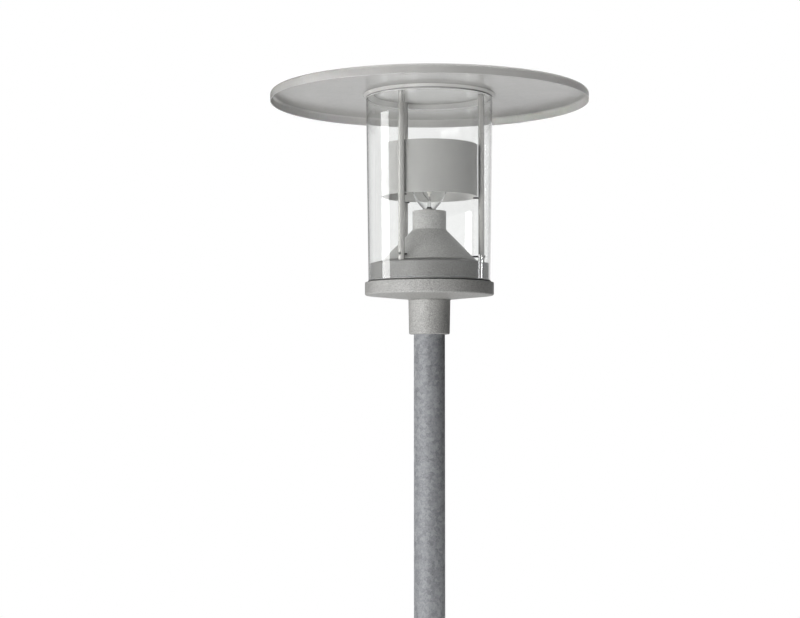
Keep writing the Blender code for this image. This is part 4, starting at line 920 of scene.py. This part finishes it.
def make_nuts():
    """Domed nuts on washers: radius is the lesser of a hexagon and its end chamfers, then a quarter round."""
    washer_foot, washer_top = span("nut_washer_right")
    foot = washer_top + GAP
    top, end = foot + 0.0055, 0.0009
    corner_radius, face_radius, chamfer_slope = 0.005774, 0.00475, 1.6
    dome_radius, dome_height = 0.0046, 0.005
    turn = np.linspace(0, 2 * math.pi, 96, endpoint=False)
    height = np.concatenate([np.linspace(foot, foot + end, 6), np.linspace(top - end, top, 6)])[:, None]
    chamfer = face_radius + np.minimum(height - foot, top - height) * chamfer_slope
    hexed = np.minimum(corner_radius * hexagon(turn), chamfer)
    angle = np.linspace(0, math.pi / 2, 14)[:, None]
    dome = dome_radius * np.cos(angle) + 0 * turn
    radius = np.concatenate([0 * turn[None], hexed, dome])
    rise = np.concatenate([[[foot]], height, top + dome_height * np.sin(angle)])
    grid = np.stack([radius * np.cos(turn), radius * np.sin(turn), rise + 0 * turn], -1)
    bore, outer = 0.0033, 0.008
    washer = [(bore, washer_top, 0.0002), (bore, washer_foot), (outer, washer_foot, 0.0003),
              (outer, washer_top, 0.0005)]
    for name in ROD_ANGLES:
        place = upright(*rod_place(name), FLANGE_Z)
        add_piece(f"domed_nut_{name}", grid, stainless, "shade", [f"cap_nut_{name}"], place,
                  (False, True))
        add_turned(f"flat_washer_{name}", washer, stainless, "shade", [f"nut_washer_{name}"],
                   True, 48, place)


def finish_gear():
    """Control gear under the cover keeps its solids and takes its own finishes."""
    finishes = {"gear_tray": stainless, "lampholder_bracket": stainless, "ballast": black_plastic,
                "ignitor": black_plastic, "cable_gland": black_plastic, "capacitor": grey_plastic,
                "terminal_block": white_plastic}
    for node, finish in finishes.items():
        refinish(node, finish)


# Studio


def make_floor():
    """Pale disc on the ground, X = r cos t, Y = r sin t, that fades out towards its rim.

    Seen from below it is clear, so that the foot of the post can be looked at from there too.
    """
    rings, around, reach, drop = 24, 96, 9.0, 0.0005
    radius = np.linspace(0, 1, rings)[:, None] ** 1.5 * reach
    turn = np.linspace(0, 2 * math.pi, around, endpoint=False)
    grid = np.stack([radius * np.cos(turn), radius * np.sin(turn), 0 * radius + 0 * turn - drop], -1)
    index = np.arange(rings * around).reshape(rings, around)
    quads = np.stack([index[:-1], index[1:], np.roll(index[1:], -1, 1), np.roll(index[:-1], -1, 1)], -1)
    mesh = bpy.data.meshes.new("studio_floor")
    mesh.from_pydata(grid.reshape(-1, 3).tolist(), [], quads.reshape(-1, 4).tolist())
    mesh.validate()
    floor = add_object("studio_floor", mesh)
    material, tree, shader, where = new_finish("floor_paper")
    shader["Base Color"].default_value = (0.86, 0.86, 0.85, 1)
    shader["Roughness"].default_value = 0.8
    length = add_node(tree, "ShaderNodeVectorMath", operation="LENGTH")
    feed(tree, length.inputs[0], where)
    fade = stretch(tree, length.outputs["Value"], 3.0, 8.5, 1.0, 0.0)
    above = reckon(tree, "SUBTRACT", 1.0, add_node(tree, "ShaderNodeNewGeometry").outputs["Backfacing"])
    feed(tree, shader["Alpha"], reckon(tree, "MULTIPLY", fade, above))
    mesh.materials.append(material)


def make_world():
    """White to the camera, through glass and in what mirrors the backdrop; a dim room for the rest."""
    world = bpy.data.worlds.new("studio")
    scene.world = world
    world.use_nodes = True
    tree = world.node_tree
    tree.nodes.clear()
    across, away, up = split(tree, add_node(tree, "ShaderNodeTexCoord").outputs["Generated"])
    aside = reckon(tree, "DIVIDE", across, reckon(tree, "MAXIMUM", away, 0.001))
    ahead = reckon(tree, "GREATER_THAN", away, 0.0)
    left_side = reckon(tree, "MULTIPLY", stretch(tree, aside, -0.32, -0.13), ahead)
    screen = reckon(tree, "MULTIPLY", left_side, stretch(tree, aside, 0.6, 0.3))
    wide_screen = reckon(tree, "MULTIPLY", left_side, stretch(tree, aside, 0.65, 0.35))
    path = add_node(tree, "ShaderNodeLightPath").outputs
    through = path["Is Transmission Ray"]
    inside = reckon(tree, "MULTIPLY", through, reckon(tree, "GREATER_THAN", path["Diffuse Depth"], 0.5))
    mirrored = reckon(tree, "MULTIPLY", path["Is Glossy Ray"], 0.74)
    deep = reckon(tree, "GREATER_THAN", path["Transmission Depth"], 2.5)
    seen = reckon(tree, "MULTIPLY", through, reckon(tree, "MAXIMUM", screen, deep))
    traced = reckon(tree, "MAXIMUM", reckon(tree, "MULTIPLY", mirrored, wide_screen), seen)
    white = reckon(tree, "MAXIMUM", path["Is Camera Ray"], traced)
    overhead = stretch(tree, up, 0.72, 0.9)
    room = mix_colour(tree, overhead, (0.05, 0.05, 0.052, 1), (1.6, 1.6, 1.6, 1))
    room = mix_colour(tree, through, room, (0.62, 0.62, 0.625, 1))
    room = mix_colour(tree, inside, room, (1.05, 1.05, 1.05, 1))
    background = add_node(tree, "ShaderNodeBackground")
    feed(tree, background.inputs["Color"], mix_colour(tree, white, room, (1, 1, 1, 1)))
    background.inputs["Strength"].default_value = 1.0
    out = add_node(tree, "ShaderNodeOutputWorld")
    tree.links.new(background.outputs[0], out.inputs[0])


def add_softbox(name, azimuth, rise, distance, width, height, power, level, unseen, spread=180):
    """A flat lamp that faces a level on the post's axis: azimuth is from the camera's side, to the right.

    Unseen names the kinds of ray that it isn't met by.
    """
    angle, up = math.radians(azimuth), math.radians(rise)
    way = np.array([math.sin(angle) * math.cos(up), -math.cos(angle) * math.cos(up), math.sin(up)])
    data = bpy.data.lights.new(name, "AREA")
    data.shape = "RECTANGLE"
    data.size = width
    data.size_y = height
    data.energy = power
    data.spread = math.radians(spread)
    lamp = add_object(name, data)
    lamp.location = np.array((0, 0, level)) + way * distance
    side = np.cross((0, 0, 1), way)
    side /= np.linalg.norm(side)
    lamp.rotation_euler = Matrix(np.stack([side, np.cross(way, side), way], -1).tolist()).to_euler()
    for kind in ("camera", *unseen):
        setattr(lamp, f"visible_{kind}", False)


def make_lamps():
    """Softboxes for the head, strips for the shade's rim, two for the post, and those that only mirror."""
    head, glint, rim = FLANGE_Z + 0.15, FLANGE_Z + 0.1085, FLANGE_Z + SHADE_RIM_FOOT
    mirrored = ("diffuse",)
    lighting = ("transmission", "glossy")
    add_softbox("left_softbox", -86.6, 0, 1.6, 0.53, 0.62, 5.2, FLANGE_Z + 0.26, mirrored)
    add_softbox("glint_near", 105, 0, 2.06, 0.06, 0.117, 0.2, glint, mirrored)
    add_softbox("glint_far", 113.5, 0, 2.06, 0.07, 0.117, 0.52, glint, mirrored)
    add_softbox("key_softbox", -42, -15, 2.6, 1.8, 1.0, 66.0, head, ("transmission",))
    add_softbox("strip_left", -80, -5, 2.0, 1.2, 0.06, 0.37, rim - 0.006, lighting, 6)
    add_softbox("strip_right", 76, -6, 2.0, 1.2, 0.06, 0.24, rim - 0.016, lighting, 6)
    add_softbox("top_softbox", 75, 66, 2.6, 1.0, 0.8, 44.0, head, lighting)
    add_softbox("post_softbox", -42, 0, 2.6, 1.0, 1.5, 7.0, 0.9, lighting, 30)
    add_softbox("post_fill", 62, 0, 2.6, 1.0, 1.8, 2.6, 1.5, lighting, 30)
    add_softbox("back_softbox", 180, -10, 3.5, 2.0, 2.0, 34.0, head, lighting)


def make_camera():
    """Lens of 1572 px for a picture 800 px across, turned so that the post stands right of centre."""
    picture_width, lens_pixels, sensor = 800.0, 1572.0, 36.0
    distance, below_flange, tilt, turn = 3.0427, 0.1748, 2.325, 1.072
    data = bpy.data.cameras.new("photo_camera")
    data.sensor_width = sensor
    data.lens = lens_pixels / picture_width * sensor
    camera = add_object("photo_camera", data)
    camera.location = (0.0, -distance, FLANGE_Z - below_flange)
    camera.rotation_euler = (math.radians(90 + tilt), 0.0, math.radians(turn))
    scene.camera = camera


make_post()
make_casting()
make_grub_screws()
make_seals()
make_cover()
make_rods()
make_reflector()
make_lampholder()
make_screw_cap()
make_bulb()
make_burner()
make_cylinder()
make_shade()
make_nuts()
finish_gear()
make_floor()
make_world()
make_lamps()
make_camera()
